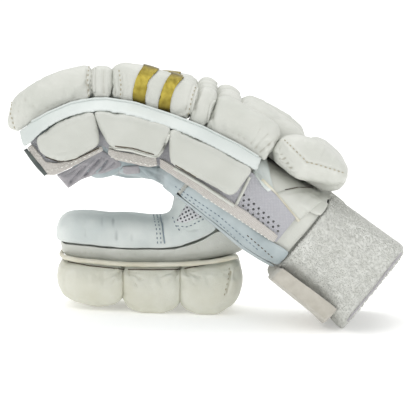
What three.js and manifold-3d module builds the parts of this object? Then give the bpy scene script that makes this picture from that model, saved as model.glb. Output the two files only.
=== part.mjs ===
// Cricket batting glove for the left hand, in millimetres.
// X runs from the fingertips to the wrist, Y from the little finger's side to the thumb's side, Z is up.
import * as THREE from 'three';
import { mergeVertices } from 'three/addons/utils/BufferGeometryUtils.js';
import Module from 'manifold-3d';

const wasm = await Module();
wasm.setup();

// Side view
const gloveLength = 258; // fingertips to the wristband's end
const gloveHeight = 173; // floor to the top of the finger rolls

// Hand and fingers
const handWidth = 96;
const wristWidth = 86;
const wall = 2; // leather and fabric walls
const skin = 1.5; // a single layer laid over a wall
const clearance = 0.3; // between neighbouring pieces
const stallDepth = 48; // back to palm side of a finger stall
const littleDepth = 30; // the same on the little finger, behind the side blocks
const stallGap = 0.8; // between the fingers and the hand

// Foam on the back
const padHeight = 22.5;
const rollGroove = 2.2; // valley between two fingers' rolls
const backHeight = 24.6;
const stripeSkin = 0.6;

// Little finger's side
const barReach = 14; // how far the side bar stands out from the hand
const barDrop = 7.5; // height of its slope
const blockThickness = 14;
const blockEdge = 2.6; // rounding of the blocks' outer edges
const blockRadius = 3.2; // rounding of their corners in the side view
const bindingThickness = 2.2;
const meshHole = 1.7; // diameter of the holes in the side panel
const meshPitch = 4.3; // spacing of the holes along a row
const meshRowPitch = 2.7;

// Thumb
const thumbLength = 125;
const thumbWidth = 38;
const thumbPadWidth = 58;
const thumbSide = 29; // thumb's middle, from the middle of the hand
const pipingHeight = 3.6;
const pipingDepth = 3.4;

// Wristband
const bandWall = 3.2;
const strapThickness = 2.6;
const strapRise = 11; // how far the strap's loose edge stands off the band
const bandYaw = 4.5; // how much shorter the band is on the little finger's side, and longer on the thumb's
const cuffWidth = 92;

// The tables below follow the glove with its floor line sloping; it is levelled at the end
const restTilt = THREE.MathUtils.degToRad(1.9);
const floorRise = 0.6; // height of that floor line below the middle of the glove

const nearSide = -handWidth / 2;
const fingerPitch = handWidth / 4;
const v3 = (x, y, z) => new THREE.Vector3(x, y, z);
const v2 = (x, y) => new THREE.Vector2(x, y);
const alongX = (share) => (share - 0.5) * gloveLength;
const heightZ = (share) => share * gloveHeight;
const inShare = (length) => length / gloveLength;
const bend = (value, squareness) => Math.sign(value) * Math.abs(value) ** (2 / squareness);
const floorAt = (x) => floorRise - Math.tan(restTilt) * x;
const clamp = (value) => Math.min(1, Math.max(0, value));

// Back of the fingers and the hand: the line that the foam rolls are sewn on, as shares of length and height
const backLine = [
  { along: 0.031, height: 0.751 },
  { along: 0.07, height: 0.789 },
  { along: 0.105, height: 0.821 },
  { along: 0.163, height: 0.858 },
  { along: 0.229, height: 0.873 },
  { along: 0.295, height: 0.864 },
  { along: 0.411, height: 0.812 },
  { along: 0.484, height: 0.769 },
  { along: 0.558, height: 0.711 },
  { along: 0.64, height: 0.642 },
  { along: 0.702, height: 0.576 },
  { along: 0.748, height: 0.53 },
  { along: 0.795, height: 0.486 },
];

// One finger a row, from the little finger: where it starts, as a share of the length,
// how far it is bent at the knuckle and at the middle joint, in degrees, and its depth
const knuckleJoint = 0.49;
const middleJoint = 0.28;
const fingers = [
  { name: 'little', tip: 0.031, knuckleBend: 0, jointBend: 0, depth: littleDepth },
  { name: 'ring', tip: 0.068, knuckleBend: 4, jointBend: 26, depth: stallDepth },
  { name: 'middle', tip: 0.07, knuckleBend: 9, jointBend: 10, depth: stallDepth },
  { name: 'index', tip: 0.08, knuckleBend: 14, jointBend: 2, depth: stallDepth },
];
fingers.forEach((finger, i) => (finger.y = nearSide + fingerPitch * (i + 0.5)));

const group = new THREE.Group();
const leather = { color: 0xe4e6df, roughness: 0.45, metalness: 0 };
const barLeather = { color: 0xdde7e5, roughness: 0.45, metalness: 0 };
const palmLeather = { color: 0xb6c2c6, roughness: 0.8, metalness: 0 };
const binding = { color: 0xd9d5d1, roughness: 0.9, metalness: 0 };
const meshFabric = { color: 0xcfcdd4, roughness: 0.9, metalness: 0 };
const gold = { color: 0xb8962f, roughness: 0.35, metalness: 0.7 };
const towelling = { color: 0xd3d5cf, roughness: 1, metalness: 0 };

function addPiece(name, geometry, finish) {
  const piece = new THREE.Mesh(geometry, new THREE.MeshStandardMaterial(finish));
  piece.name = name;
  group.add(piece);
}

// Triangles that close a ring of points lying roughly in one plane
function capTriangles(ring) {
  const normal = v3(0, 0, 0);
  ring.forEach((p, i) => {
    const q = ring[(i + 1) % ring.length];
    normal.x += (p.y - q.y) * (p.z + q.z);
    normal.y += (p.z - q.z) * (p.x + q.x);
    normal.z += (p.x - q.x) * (p.y + q.y);
  });
  normal.normalize();
  const across = ring[1].clone().sub(ring[0]).projectOnPlane(normal).normalize();
  const up = normal.clone().cross(across);
  const flat = ring.map((p) => new THREE.Vector2(p.dot(across), p.dot(up)));
  return THREE.ShapeUtils.triangulateShape(flat, []);
}

// A closed solid through rings of equal length; with joined, the last ring meets the first,
// as a tube's wall does
function loft(rings, joined = false) {
  const count = rings[0].length;
  const index = [];
  const steps = joined ? rings.length : rings.length - 1;
  for (let i = 0; i < steps; i++) {
    const low = i * count;
    const high = ((i + 1) % rings.length) * count;
    for (let k = 0; k < count; k++) {
      const next = (k + 1) % count;
      index.push(low + k, low + next, high + next, low + k, high + next, high + k);
    }
  }
  if (!joined) {
    const last = (rings.length - 1) * count;
    for (const [a, b, c] of capTriangles(rings[0])) index.push(a, c, b);
    for (const [a, b, c] of capTriangles(rings[rings.length - 1])) {
      index.push(last + a, last + b, last + c);
    }
  }
  const points = rings.flat();
  let volume = 0;
  for (let i = 0; i < index.length; i += 3) {
    volume += points[index[i]].dot(points[index[i + 1]].clone().cross(points[index[i + 2]]));
  }
  if (volume < 0) index.reverse();
  const geometry = new THREE.BufferGeometry().setFromPoints(points);
  return geometry.setIndex(index);
}

function toSolid(geometry) {
  const plain = geometry.index ? geometry.toNonIndexed() : geometry.clone();
  plain.deleteAttribute('normal');
  plain.deleteAttribute('uv');
  const merged = mergeVertices(plain, 1e-4);
  const vertProperties = merged.attributes.position.array;
  const triVerts = new Uint32Array(merged.index.array);
  return new wasm.Manifold(new wasm.Mesh({ numProp: 3, vertProperties, triVerts }));
}

function toGeometry(solid) {
  const mesh = solid.getMesh();
  const geometry = new THREE.BufferGeometry();
  geometry.setAttribute('position', new THREE.BufferAttribute(mesh.vertProperties, 3));
  return geometry.setIndex(new THREE.BufferAttribute(mesh.triVerts, 1));
}

// Smooth height of the back line at a share of the length
function backHeightAt(along) {
  const rows = backLine;
  let i = rows.findIndex((row) => row.along > along) - 1;
  if (i < 0) i = along <= rows[0].along ? 0 : rows.length - 2;
  const slope = (k) => {
    const before = rows[Math.max(0, k - 1)];
    const after = rows[Math.min(rows.length - 1, k + 1)];
    return (after.height - before.height) / (after.along - before.along);
  };
  const span = rows[i + 1].along - rows[i].along;
  const t = (along - rows[i].along) / span;
  const rise = rows[i + 1].height - rows[i].height;
  const bulge = (slope(i) * span - rise) * (1 - t) + (rise - slope(i + 1) * span) * t;
  return rows[i].height + t * rise + t * (1 - t) * bulge;
}

// Point on the back line, and the direction away from the hand there
function backAt(along) {
  const step = 0.004;
  const point = (share) => new THREE.Vector2(alongX(share), heightZ(backHeightAt(share)));
  const tangent = point(along + step).sub(point(along - step)).normalize();
  return { point: point(along), away: new THREE.Vector2(-tangent.y, tangent.x) };
}

// Turns the part of a finger beyond a joint down about that joint
function bendAbout(spot, along, joint, degrees, span) {
  const share = clamp((joint - along) / span);
  const pivot = backAt(joint).point;
  return spot.rotateAround(pivot, THREE.MathUtils.degToRad(degrees) * share * share * (3 - 2 * share));
}

const jointSpan = 0.13;
function fingerSpot(finger, along, rise, y, turn = 0) {
  const { point, away } = backAt(along);
  const spot = point.clone().addScaledVector(away, rise);
  if (turn) spot.rotateAround(point, THREE.MathUtils.degToRad(turn));
  bendAbout(spot, along, middleJoint, finger.jointBend, jointSpan);
  bendAbout(spot, along, knuckleJoint, finger.knuckleBend, jointSpan);
  return v3(spot.x, y, spot.y);
}

// Arch of a foam roll in one station: flat below, square-shouldered above
const archSteps = 9;
function archRing(finger, station, width, height, seat) {
  const ring = [];
  for (let k = 0; k <= archSteps; k++) {
    const angle = (Math.PI * k) / archSteps;
    const y = finger.y + (width / 2) * bend(Math.cos(angle), 3);
    const rise = seat + height * bend(Math.sin(angle), 2.7);
    ring.push(fingerSpot(finger, station.along, rise, y, station.turn));
  }
  return ring;
}

// Swelling of a roll from end to end: shares of its length, height and width
const rollStations = [
  { share: 0, height: 0.8, width: 0.88 },
  { share: 0.1, height: 0.95, width: 0.97 },
  { share: 0.32, height: 1, width: 1 },
  { share: 0.68, height: 1, width: 1 },
  { share: 0.9, height: 0.95, width: 0.97 },
  { share: 1, height: 0.8, width: 0.88 },
];
const tipStations = [
  { share: 0, turn: 48, height: 0.3, width: 0.66 },
  { share: 0, turn: 24, height: 0.44, width: 0.82 },
  { share: 0, height: 0.6, width: 0.9 },
  { share: 0.09, height: 0.8, width: 0.96 },
  { share: 0.2, height: 0.92, width: 1 },
  { share: 0.42, height: 1, width: 1 },
  { share: 0.7, height: 1, width: 1 },
  { share: 0.93, height: 0.99, width: 1 },
  { share: 1, height: 0.93, width: 0.97 },
];

function addRoll(name, finger, from, to, height, stations) {
  const start = from + inShare(clearance);
  const width = fingerPitch - rollGroove;
  const rings = stations.map((row) => {
    const station = { along: start + (to - start) * row.share, turn: row.turn };
    return archRing(finger, station, width * row.width, height * row.height, clearance);
  });
  addPiece(name, loft(rings), leather);
}

// A stripe is a thin band over the roll, from side to side
function addStripe(name, finger, from, to) {
  const width = fingerPitch - rollGroove;
  const rollHeight = padHeight * rollHeights.middle;
  const rings = [from, (from + to) / 2, to].map((along) => {
    const arch = (lift) => archRing(finger, { along }, width + 2 * lift, rollHeight + lift, clearance);
    return [...arch(clearance + stripeSkin), ...arch(clearance).reverse()];
  });
  addPiece(name, loft(rings), gold);
}

// Places of the rolls on a finger, as shares of the glove's length
const rollPlaces = { hinge: 0.213, middle: 0.26, knuckle: 0.45, back: 0.49, backEnd: 0.64 };
const rollHeights = { tip: 0.93, hinge: 0.86, middle: 1.09, knuckle: 1.04 };
const stripePlaces = [
  { name: 'a', from: 0.317, to: 0.353 },
  { name: 'b', from: 0.38, to: 0.413 },
];
const farBackPlaces = [
  { name: 'a', from: 0.492, to: 0.548, height: 1 },
  { name: 'b', from: 0.548, to: 0.7, height: 1.13 },
];
for (const finger of fingers) {
  const place = rollPlaces;
  const height = (roll) => padHeight * rollHeights[roll];
  addRoll(`tip_pad_${finger.name}`, finger, finger.tip, place.hinge, height('tip'), tipStations);
  addRoll(`hinge_roll_${finger.name}`, finger, place.hinge, place.middle, height('hinge'), rollStations);
  addRoll(`mid_roll_${finger.name}`, finger, place.middle, place.knuckle, height('middle'), rollStations);
  addRoll(`knuckle_roll_${finger.name}`, finger, place.knuckle, place.back, height('knuckle'), rollStations);
  for (const stripe of stripePlaces) {
    addStripe(`gold_stripe_${stripe.name}_${finger.name}`, finger, stripe.from, stripe.to);
  }
}
addRoll('back_roll_little', fingers[0], rollPlaces.back, rollPlaces.backEnd, backHeight, rollStations);
for (const finger of fingers.slice(1)) {
  for (const part of farBackPlaces) {
    const name = `back_roll_${part.name}_${finger.name}`;
    addRoll(name, finger, part.from, part.to, backHeight * part.height, rollStations);
  }
}

// Finger stalls: hollow, closed at the tip, open at the knuckle
const stallSides = 14;
const stallMouth = 0.455;
const stallStations = [
  { share: 0, size: 0.72, depth: 0.7 },
  { share: 0.035, size: 0.94, depth: 0.76 },
  { share: 0.18, size: 1, depth: 0.86 },
  { share: 0.37, size: 1, depth: 0.96 },
  { share: 0.6, size: 1, depth: 1 },
  { share: 0.82, size: 1, depth: 1 },
  { share: 1, size: 1, depth: 1 },
];
const stallSetback = 1.3; // of the stall's closed end behind its tip pad's
const mouthSetback = 0.32; // of the mouth, for each degree the finger is bent at the knuckle
const stallRoom = 1.4; // clear of the next stall
function stallRing(finger, row, inset, shift) {
  const ring = [];
  const halfWidth = ((fingerPitch - stallRoom) / 2) * row.size - inset;
  const halfDepth = (finger.depth * row.depth) / 2;
  const start = finger.tip + inShare(stallSetback);
  const mouthAlong = stallMouth - inShare(mouthSetback * finger.knuckleBend);
  const along = start + (mouthAlong - start) * row.share + shift;
  for (let k = 0; k < stallSides; k++) {
    const angle = (2 * Math.PI * k) / stallSides;
    const y = finger.y + halfWidth * bend(Math.cos(angle), 3.4);
    const rise = -halfDepth + (halfDepth * row.size - inset) * bend(Math.sin(angle), 3.4);
    ring.push(fingerSpot(finger, along, rise, y));
  }
  return ring;
}
for (const finger of fingers) {
  const outer = stallStations.map((row) => stallRing(finger, row, 0, 0));
  const inner = stallStations.map((row, i) => stallRing(finger, row, wall, i === 0 ? inShare(wall) : 0));
  addPiece(`finger_stall_${finger.name}`, loft([...outer, ...inner.reverse()]), palmLeather);
}

// A section is a rounded oblong standing between a point of the upper outline and one of the lower outline
function sectionFrame(row) {
  const top = new THREE.Vector2(alongX(row.top[0]), heightZ(row.top[1]));
  const bottom = new THREE.Vector2(alongX(row.bottom[0]), heightZ(row.bottom[1]));
  const middle = top.clone().add(bottom).multiplyScalar(0.5);
  return { top, bottom, middle, up: top.clone().sub(bottom).normalize() };
}
function sectionPoint(row, angle, lift) {
  const { top, bottom, middle, up } = sectionFrame(row);
  const half = top.distanceTo(bottom) / 2 + lift;
  const reach = half * bend(Math.sin(angle), row.square);
  const y = row.y + (row.width / 2 + lift) * bend(Math.cos(angle), row.square);
  const spot = middle.clone().addScaledVector(up, reach);
  if (row.yaw) {
    const along = up.clone().rotateAround(v2(0, 0), -Math.PI / 2);
    spot.addScaledVector(along, (row.yaw * y) / (row.width / 2));
  }
  return v3(spot.x, y, Math.max(floorAt(spot.x), spot.y));
}
function sectionRing(row, sides, lift) {
  return Array.from({ length: sides }, (_, k) => sectionPoint(row, (2 * Math.PI * k) / sides, lift));
}
function openTube(rows, sides, thickness) {
  const outer = rows.map((row) => sectionRing(row, sides, 0));
  const inner = rows.map((row) => sectionRing(row, sides, -thickness));
  return loft([...outer, ...inner.reverse()], true);
}
// Part of a tube's wall between two angles: 0 is the thumb's side, 90 the top, 180 the little finger's side
function tubePatch(rows, from, to, steps, lift, thickness) {
  const rings = rows.map((row) => {
    const arc = (out) =>
      Array.from({ length: steps + 1 }, (_, k) => {
        const rise = (row.rise || 0) * (1 - k / steps) ** 2;
        const angle = THREE.MathUtils.degToRad(from + ((to - from) * k) / steps);
        return sectionPoint(row, angle, out + rise);
      });
    return [...arc(lift + thickness), ...arc(lift).reverse()];
  });
  return loft(rings);
}

// Hand from the knuckles to the wrist
const mouth = backAt(stallMouth + inShare(stallGap));
const mouthFoot = mouth.point.clone().addScaledVector(mouth.away, -stallDepth);
const sharesOf = (spot) => [spot.x / gloveLength + 0.5, spot.y / gloveHeight];
const handRows = [
  { top: sharesOf(mouth.point), bottom: sharesOf(mouthFoot), width: 1 },
  { top: [0.539, backHeightAt(0.539)], bottom: [0.422, 0.492], width: 1 },
  { top: [0.616, backHeightAt(0.616)], bottom: [0.5, 0.402], width: 1 },
  { top: [0.686, backHeightAt(0.686)], bottom: [0.547, 0.341], width: 0.98 },
  { top: [0.748, backHeightAt(0.748)], bottom: [0.6, 0.275], width: 0.95 },
  { top: [0.81, 0.48], bottom: [0.666, 0.22], width: wristWidth / handWidth },
];
handRows.forEach((row) => Object.assign(row, { width: row.width * handWidth, y: 0, square: 3.6 }));

// Thumb from its tip to its root below the palm
const thumbStart = 0.41; // right end of the straight part, where the web rises to the palm
const thumbAlong = (share) => thumbStart - (1 - share) * inShare(thumbLength - 46);
const thumbRows = [
  { top: [thumbAlong(0), 0.335], bottom: [thumbAlong(0), 0.275], width: 0.42 },
  { top: [thumbAlong(0.02), 0.362], bottom: [thumbAlong(0.02), 0.245], width: 0.78 },
  { top: [thumbAlong(0.09), 0.382], bottom: [thumbAlong(0.09), 0.228], width: 0.94 },
  { top: [thumbAlong(0.26), 0.386], bottom: [thumbAlong(0.26), 0.217], width: 1 },
  { top: [thumbAlong(0.52), 0.377], bottom: [thumbAlong(0.52), 0.206], width: 1 },
  { top: [thumbAlong(0.78), 0.371], bottom: [thumbAlong(0.78), 0.205], width: 1 },
  { top: [thumbAlong(0.96), 0.371], bottom: [thumbAlong(0.98), 0.205], width: 1.02 },
  { top: [0.409, 0.425], bottom: [0.466, 0.209], width: 1.1 },
  { top: [0.4155, 0.483], bottom: [0.595, 0.264], width: 1.16 },
];
thumbRows.forEach((row) => Object.assign(row, { width: row.width * thumbWidth, y: thumbSide, square: 2.8 }));

const handSides = 20;
const handTube = toSolid(openTube(handRows, handSides, wall));
// The thumb's way into the hand, cut through the underside
const thumbWay = { ...thumbRows[thumbRows.length - 1] };
thumbWay.width -= 4 * wall;
const thumbWayHalf = v3(14, 0, 17);
const thumbWayRings = [-1, 1].map((side) =>
  sectionRing(thumbWay, 12, -2 * wall).map((p) => p.addScaledVector(thumbWayHalf, side)),
);
const thumbCut = toSolid(loft(thumbWayRings));
addPiece('hand_shell', toGeometry(handTube.subtract(thumbCut)), leather);

// Grey leather of the palm: the underside, and the sewn strip along the little finger's side
const palmRows = handRows.slice(0, 6);
const palm = toSolid(tubePatch(palmRows, 232, 352, 8, clearance, skin));
addPiece('palm_leather', toGeometry(palm.subtract(thumbCut)), palmLeather);
addPiece('palm_strip', tubePatch(palmRows.slice(1), 191, 230, 4, clearance, skin), palmLeather);

// Thumb stall above, white gusset below
addPiece('thumb_stall', tubePatch(thumbRows, -16, 196, 12, -wall, wall), palmLeather);
addPiece('thumb_gusset', tubePatch(thumbRows, 199, 341, 8, -wall, wall), leather);

// Foam pads below the thumb: upper and lower outline at their stations
const thumbPads = [
  [
    { along: 0.114, top: 0.198, bottom: 0.12, width: 0.66 },
    { along: 0.124, top: 0.212, bottom: 0.073, width: 0.86 },
    { along: 0.163, top: 0.217, bottom: 0.043, width: 0.97 },
    { along: 0.215, top: 0.208, bottom: 0.029, width: 1 },
    { along: 0.262, top: 0.201, bottom: 0.037, width: 0.98 },
    { along: 0.28, top: 0.194, bottom: 0.053, width: 0.94 },
  ],
  [
    { along: 0.282, top: 0.194, bottom: 0.04, width: 0.94 },
    { along: 0.298, top: 0.2, bottom: 0.015, width: 0.99 },
    { along: 0.326, top: 0.201, bottom: -0.02, width: 1 },
    { along: 0.378, top: 0.201, bottom: -0.02, width: 1 },
    { along: 0.41, top: 0.2, bottom: 0.015, width: 0.99 },
    { along: 0.427, top: 0.194, bottom: 0.036, width: 0.94 },
  ],
  [
    { along: 0.429, top: 0.194, bottom: 0.036, width: 0.94 },
    { along: 0.444, top: 0.2, bottom: 0.014, width: 0.99 },
    { along: 0.474, top: 0.202, bottom: -0.02, width: 1 },
    { along: 0.522, top: 0.212, bottom: -0.01, width: 1 },
    { along: 0.565, top: 0.228, bottom: 0.034, width: 0.95 },
    { along: 0.58, top: 0.21, bottom: 0.074, width: 0.8 },
  ],
];
thumbPads.forEach((rows, i) => {
  const rings = rows.map((row) => {
    const outline = { top: [row.along, row.top], bottom: [row.along, row.bottom] };
    return sectionRing({ ...outline, square: 3.8, y: thumbSide, width: row.width * thumbPadWidth }, 16, 0);
  });
  addPiece(`thumb_pad_${i + 1}`, loft(rings), leather);
});

// Rounded piping between the gusset and the pads, from the root round the tip and back
const pipingRows = [
  { along: 0.577, height: 0.233 },
  { along: 0.52, height: 0.214 },
  { along: 0.43, height: 0.202 },
  { along: 0.285, height: 0.202 },
  { along: 0.2, height: 0.213 },
  { along: 0.133, height: 0.225 },
];
const pipingY = thumbWidth / 2 + pipingDepth / 2 + 2.6;
const pipingPoint = (row, side) => v3(alongX(row.along), thumbSide + side * pipingY, heightZ(row.height));
const pipingTip = pipingRows[pipingRows.length - 1];
const pipingPath = new THREE.CatmullRomCurve3([
  ...pipingRows.map((row) => pipingPoint(row, -1)),
  v3(alongX(pipingTip.along - 0.03), thumbSide, heightZ(pipingTip.height)),
  ...[...pipingRows].reverse().map((row) => pipingPoint(row, 1)),
]);
const pipingSides = 8;
const pipingShape = new THREE.Shape(
  Array.from({ length: pipingSides }, (_, k) => {
    const angle = (2 * Math.PI * (k + 0.5)) / pipingSides;
    return new THREE.Vector2((pipingDepth / 2) * Math.cos(angle), (pipingHeight / 2) * Math.sin(angle));
  }),
);
const piping = new THREE.ExtrudeGeometry(pipingShape, { extrudePath: pipingPath, steps: 40 });
addPiece('thumb_piping', piping, leather);

// Side bar: a wedge of foam along the little finger's side of the back line
const barFrom = 0.034;
const barTo = 0.634;
const barSteps = 16;
const barRings = Array.from({ length: barSteps + 1 }, (_, i) => {
  const along = barFrom + ((barTo - barFrom) * i) / barSteps;
  const { point, away } = backAt(along);
  const corner = (out, rise) => {
    const spot = point.clone().addScaledVector(away, rise);
    return v3(spot.x, nearSide - out, spot.y);
  };
  return [
    corner(clearance, 0.6),
    corner(clearance + 1.6, 0.4),
    corner(barReach - 0.8, -barDrop + 1),
    corner(barReach, -barDrop),
    corner(clearance, -barDrop),
  ];
});
addPiece('side_bar', loft(barRings), barLeather);

// Moves each corner of an outline, given clockwise, inwards
function insetOutline(points, inset) {
  return points.map((p, i) => {
    const before = points[(i + points.length - 1) % points.length];
    const after = points[(i + 1) % points.length];
    const inA = new THREE.Vector2(p.y - before.y, before.x - p.x).normalize();
    const inB = new THREE.Vector2(after.y - p.y, p.x - after.x).normalize();
    const inwards = inA.clone().add(inB).normalize();
    return p.clone().addScaledVector(inwards, inset / Math.max(0.6, inwards.dot(inA)));
  });
}
function roundedOutline(corners, radius, arcSteps) {
  return corners.flatMap((p, i) => {
    const before = corners[(i + corners.length - 1) % corners.length];
    const after = corners[(i + 1) % corners.length];
    const reach = Math.min(radius, p.distanceTo(before) * 0.45, p.distanceTo(after) * 0.45);
    const start = p.clone().addScaledVector(before.clone().sub(p).normalize(), reach);
    const end = p.clone().addScaledVector(after.clone().sub(p).normalize(), reach);
    return new THREE.QuadraticBezierCurve(start, p, end).getPoints(arcSteps);
  });
}
// A cushion built up in layers across the glove; a layer has its outline in the side view, as shares
function cushion(layers, radius, arcSteps) {
  const rings = layers.map(({ y, inset, outline }) => {
    const corners = outline.map(([along, height]) => new THREE.Vector2(alongX(along), heightZ(height)));
    return roundedOutline(insetOutline(corners, inset), radius, arcSteps).map((p) => v3(p.x, y, p.y));
  });
  return loft(rings);
}

const panelOut = skin + 2.6 * clearance; // the side panel lies outside the palm strip
const blockBack = nearSide - panelOut - skin - clearance;
const blockFront = nearSide - panelOut - blockThickness;
const blockOutlines = [
  [
    [0.082, 0.738], [0.151, 0.795], [0.2175, 0.823], [0.2295, 0.705], [0.167, 0.658], [0.132, 0.651],
    [0.093, 0.679],
  ],
  [[0.223, 0.822], [0.314, 0.806], [0.406, 0.763], [0.374, 0.664], [0.26, 0.698]],
  [[0.411, 0.759], [0.508, 0.695], [0.605, 0.615], [0.557, 0.52], [0.413, 0.636]],
];
blockOutlines.forEach((outline, i) => {
  const layers = [
    { y: blockBack, inset: 0.6, outline },
    { y: blockFront + blockEdge, inset: 0.2, outline },
    { y: blockFront + blockEdge * 0.35, inset: blockEdge * 0.3, outline },
    { y: blockFront, inset: blockEdge * 1.1, outline },
  ];
  addPiece(`side_block_${i + 1}`, cushion(layers, blockRadius, 2), leather);
});

// A strip of cloth between an upper and a lower line in the side view;
// out is its distance from the near side
function clothStrip(rows, thickness) {
  return loft(
    rows.map(({ top, bottom, out }) => {
      const at = ([along, height], lift) => v3(alongX(along), nearSide - out - lift, heightZ(height));
      return [at(top, 0), at(top, thickness), at(bottom, thickness), at(bottom, 0)];
    }),
  );
}

// Perforated fabric behind the blocks and on to the wristband
const wristStep = (handWidth - wristWidth) / 2;
const meshRows = [
  { top: [0.058, 0.722], bottom: [0.094, 0.606], out: 0 },
  { top: [0.15, 0.772], bottom: [0.16, 0.634], out: 0 },
  { top: [0.229, 0.805], bottom: [0.236, 0.7], out: 0 },
  { top: [0.27, 0.798], bottom: [0.274, 0.668], out: 0 },
  { top: [0.37, 0.757], bottom: [0.37, 0.63], out: 0 },
  { top: [0.46, 0.705], bottom: [0.43, 0.588], out: 0 },
  { top: [0.546, 0.643], bottom: [0.516, 0.504], out: 0 },
  { top: [0.61, 0.597], bottom: [0.58, 0.437], out: -0.1 },
  { top: [0.668, 0.515], bottom: [0.63, 0.381], out: -0.5 },
  { top: [0.718, 0.424], bottom: [0.67, 0.335], out: -0.92 },
];
meshRows.forEach((row) => (row.out = panelOut + row.out * wristStep));
const panel = toSolid(clothStrip(meshRows, skin));
// Three staggered rows of holes, from block 3 towards the wristband
const holeStart = [0.582, 0.503];
const holeRun = { columns: 8, slope: -0.92 };
const holeCutters = [];
for (let row = 0; row < 3; row++) {
  for (let column = 0; column < holeRun.columns; column++) {
    const step = (column + (row % 2) / 2) * meshPitch;
    const run = new THREE.Vector2(1, holeRun.slope).normalize();
    const x = alongX(holeStart[0]) + run.x * step - run.y * (row - 1) * meshRowPitch;
    const z = heightZ(holeStart[1]) + run.y * step + run.x * (row - 1) * meshRowPitch;
    const hole = new THREE.CylinderGeometry(meshHole / 2, meshHole / 2, 8 * skin, 6);
    hole.translate(x, nearSide - panelOut + wristStep / 2, z);
    holeCutters.push(toSolid(hole));
  }
}
const pierced = holeCutters.reduce((solid, cutter) => solid.subtract(cutter), panel);
addPiece('mesh_panel', toGeometry(pierced), meshFabric);

// Woven binding along the lower edge of the side, one length below each block
const bindingRows = [
  [
    { top: [0.066, 0.705], bottom: [0.054, 0.692] },
    { top: [0.1, 0.64], bottom: [0.096, 0.593] },
    { top: [0.124, 0.636], bottom: [0.12, 0.59] },
    { top: [0.165, 0.645], bottom: [0.157, 0.615] },
    { top: [0.237, 0.7], bottom: [0.242, 0.682] },
  ],
  [
    { top: [0.254, 0.69], bottom: [0.253, 0.668] },
    { top: [0.272, 0.682], bottom: [0.273, 0.646] },
    { top: [0.357, 0.658], bottom: [0.352, 0.62] },
    { top: [0.372, 0.66], bottom: [0.376, 0.625] },
  ],
  [
    { top: [0.38, 0.655], bottom: [0.382, 0.619] },
    { top: [0.452, 0.592], bottom: [0.447, 0.556] },
    { top: [0.53, 0.52], bottom: [0.516, 0.484] },
    { top: [0.6, 0.45], bottom: [0.584, 0.416] },
    { top: [0.675, 0.36], bottom: [0.663, 0.336] },
  ],
];
const bindingDrift = [0, 0, 0, -0.15, -0.85];
bindingRows.forEach((rows, i) => {
  const outs = i === 2 ? bindingDrift : rows.map(() => 0);
  const strip = rows.map((row, k) => ({ ...row, out: panelOut + skin + clearance + outs[k] * wristStep }));
  addPiece(`edge_binding_${i + 1}`, clothStrip(strip, bindingThickness), binding);
});

// Padded roll over the wrist: near end and far end outlines, clockwise
const cuffOutlines = {
  near: [
    [0.652, 0.645], [0.67, 0.703], [0.699, 0.728], [0.75, 0.728], [0.803, 0.668], [0.846, 0.598],
    [0.853, 0.566], [0.822, 0.53], [0.772, 0.55], [0.717, 0.56],
  ],
  far: [
    [0.723, 0.56], [0.735, 0.61], [0.757, 0.66], [0.777, 0.69], [0.818, 0.648], [0.85, 0.594],
    [0.858, 0.55], [0.843, 0.518], [0.815, 0.5], [0.79, 0.501],
  ],
};
const cuffLayers = [
  { share: -0.5, inset: 3.4, outline: cuffOutlines.near },
  { share: -0.475, inset: 1.4, outline: cuffOutlines.near },
  { share: -0.43, inset: 0, outline: cuffOutlines.near },
  { share: -0.29, inset: 0, outline: cuffOutlines.near },
  { share: -0.24, inset: 0, outline: cuffOutlines.far },
  { share: 0.43, inset: 0, outline: cuffOutlines.far },
  { share: 0.475, inset: 1.4, outline: cuffOutlines.far },
  { share: 0.5, inset: 3.4, outline: cuffOutlines.far },
];
cuffLayers.forEach((layer) => (layer.y = layer.share * cuffWidth));
addPiece('cuff_roll', cushion(cuffLayers, 5, 1), leather);

// Leather laid on the hand below the roll, down to the wristband
addPiece('cuff_flap', tubePatch(handRows.slice(4), 125, 160, 4, clearance, skin), leather);

// Wristband: towelling tube, open at both ends, and the ends of its closing strap
const bandRows = [
  { top: [0.812, 0.4765], bottom: [0.669, 0.217], yaw: 0 },
  { top: [0.857, 0.425], bottom: [0.725, 0.15], yaw: 0.2 },
  { top: [0.919, 0.358], bottom: [0.779, 0.078], yaw: 0.6 },
  { top: [0.988, 0.282], bottom: [0.833, -0.012], yaw: 1 },
  { top: [1.002, 0.266], bottom: [0.843, -0.03], yaw: 1 },
];
bandRows.forEach((row, i) => {
  const square = i < 3 ? 3 : 4.2;
  Object.assign(row, { yaw: row.yaw * bandYaw, y: 0, width: wristWidth + 4, square });
});
addPiece('wristband', openTube(bandRows, 24, bandWall), towelling);
const strapEnd = { ...bandRows[2], top: [0.957, 0.317], bottom: [0.81, 0.024] };
const strapRises = [1, 0.95, 0.8, 0.5];
const strapStations = [...bandRows.slice(0, 3), strapEnd];
const strapRows = strapStations.map((row, i) => ({ ...row, rise: strapRises[i] * strapRise }));
addPiece('wrist_strap', tubePatch(strapRows, 214, 292, 7, clearance, strapThickness), towelling);
addPiece('strap_tab', tubePatch(bandRows.slice(0, 2), 58, 74, 2, clearance, skin), leather);

// Level on the floor, with the origin below the middle of the glove
group.rotation.y = -restTilt;
const box = new THREE.Box3().setFromObject(group, true);
const middle = box.getCenter(v3(0, 0, 0));
group.position.set(-middle.x, -middle.y, -box.min.z);

export default group;
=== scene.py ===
import math
import bmesh
import bpy
import numpy as np
from mathutils import Matrix, Vector, noise
from mathutils.bvhtree import BVHTree


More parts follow.
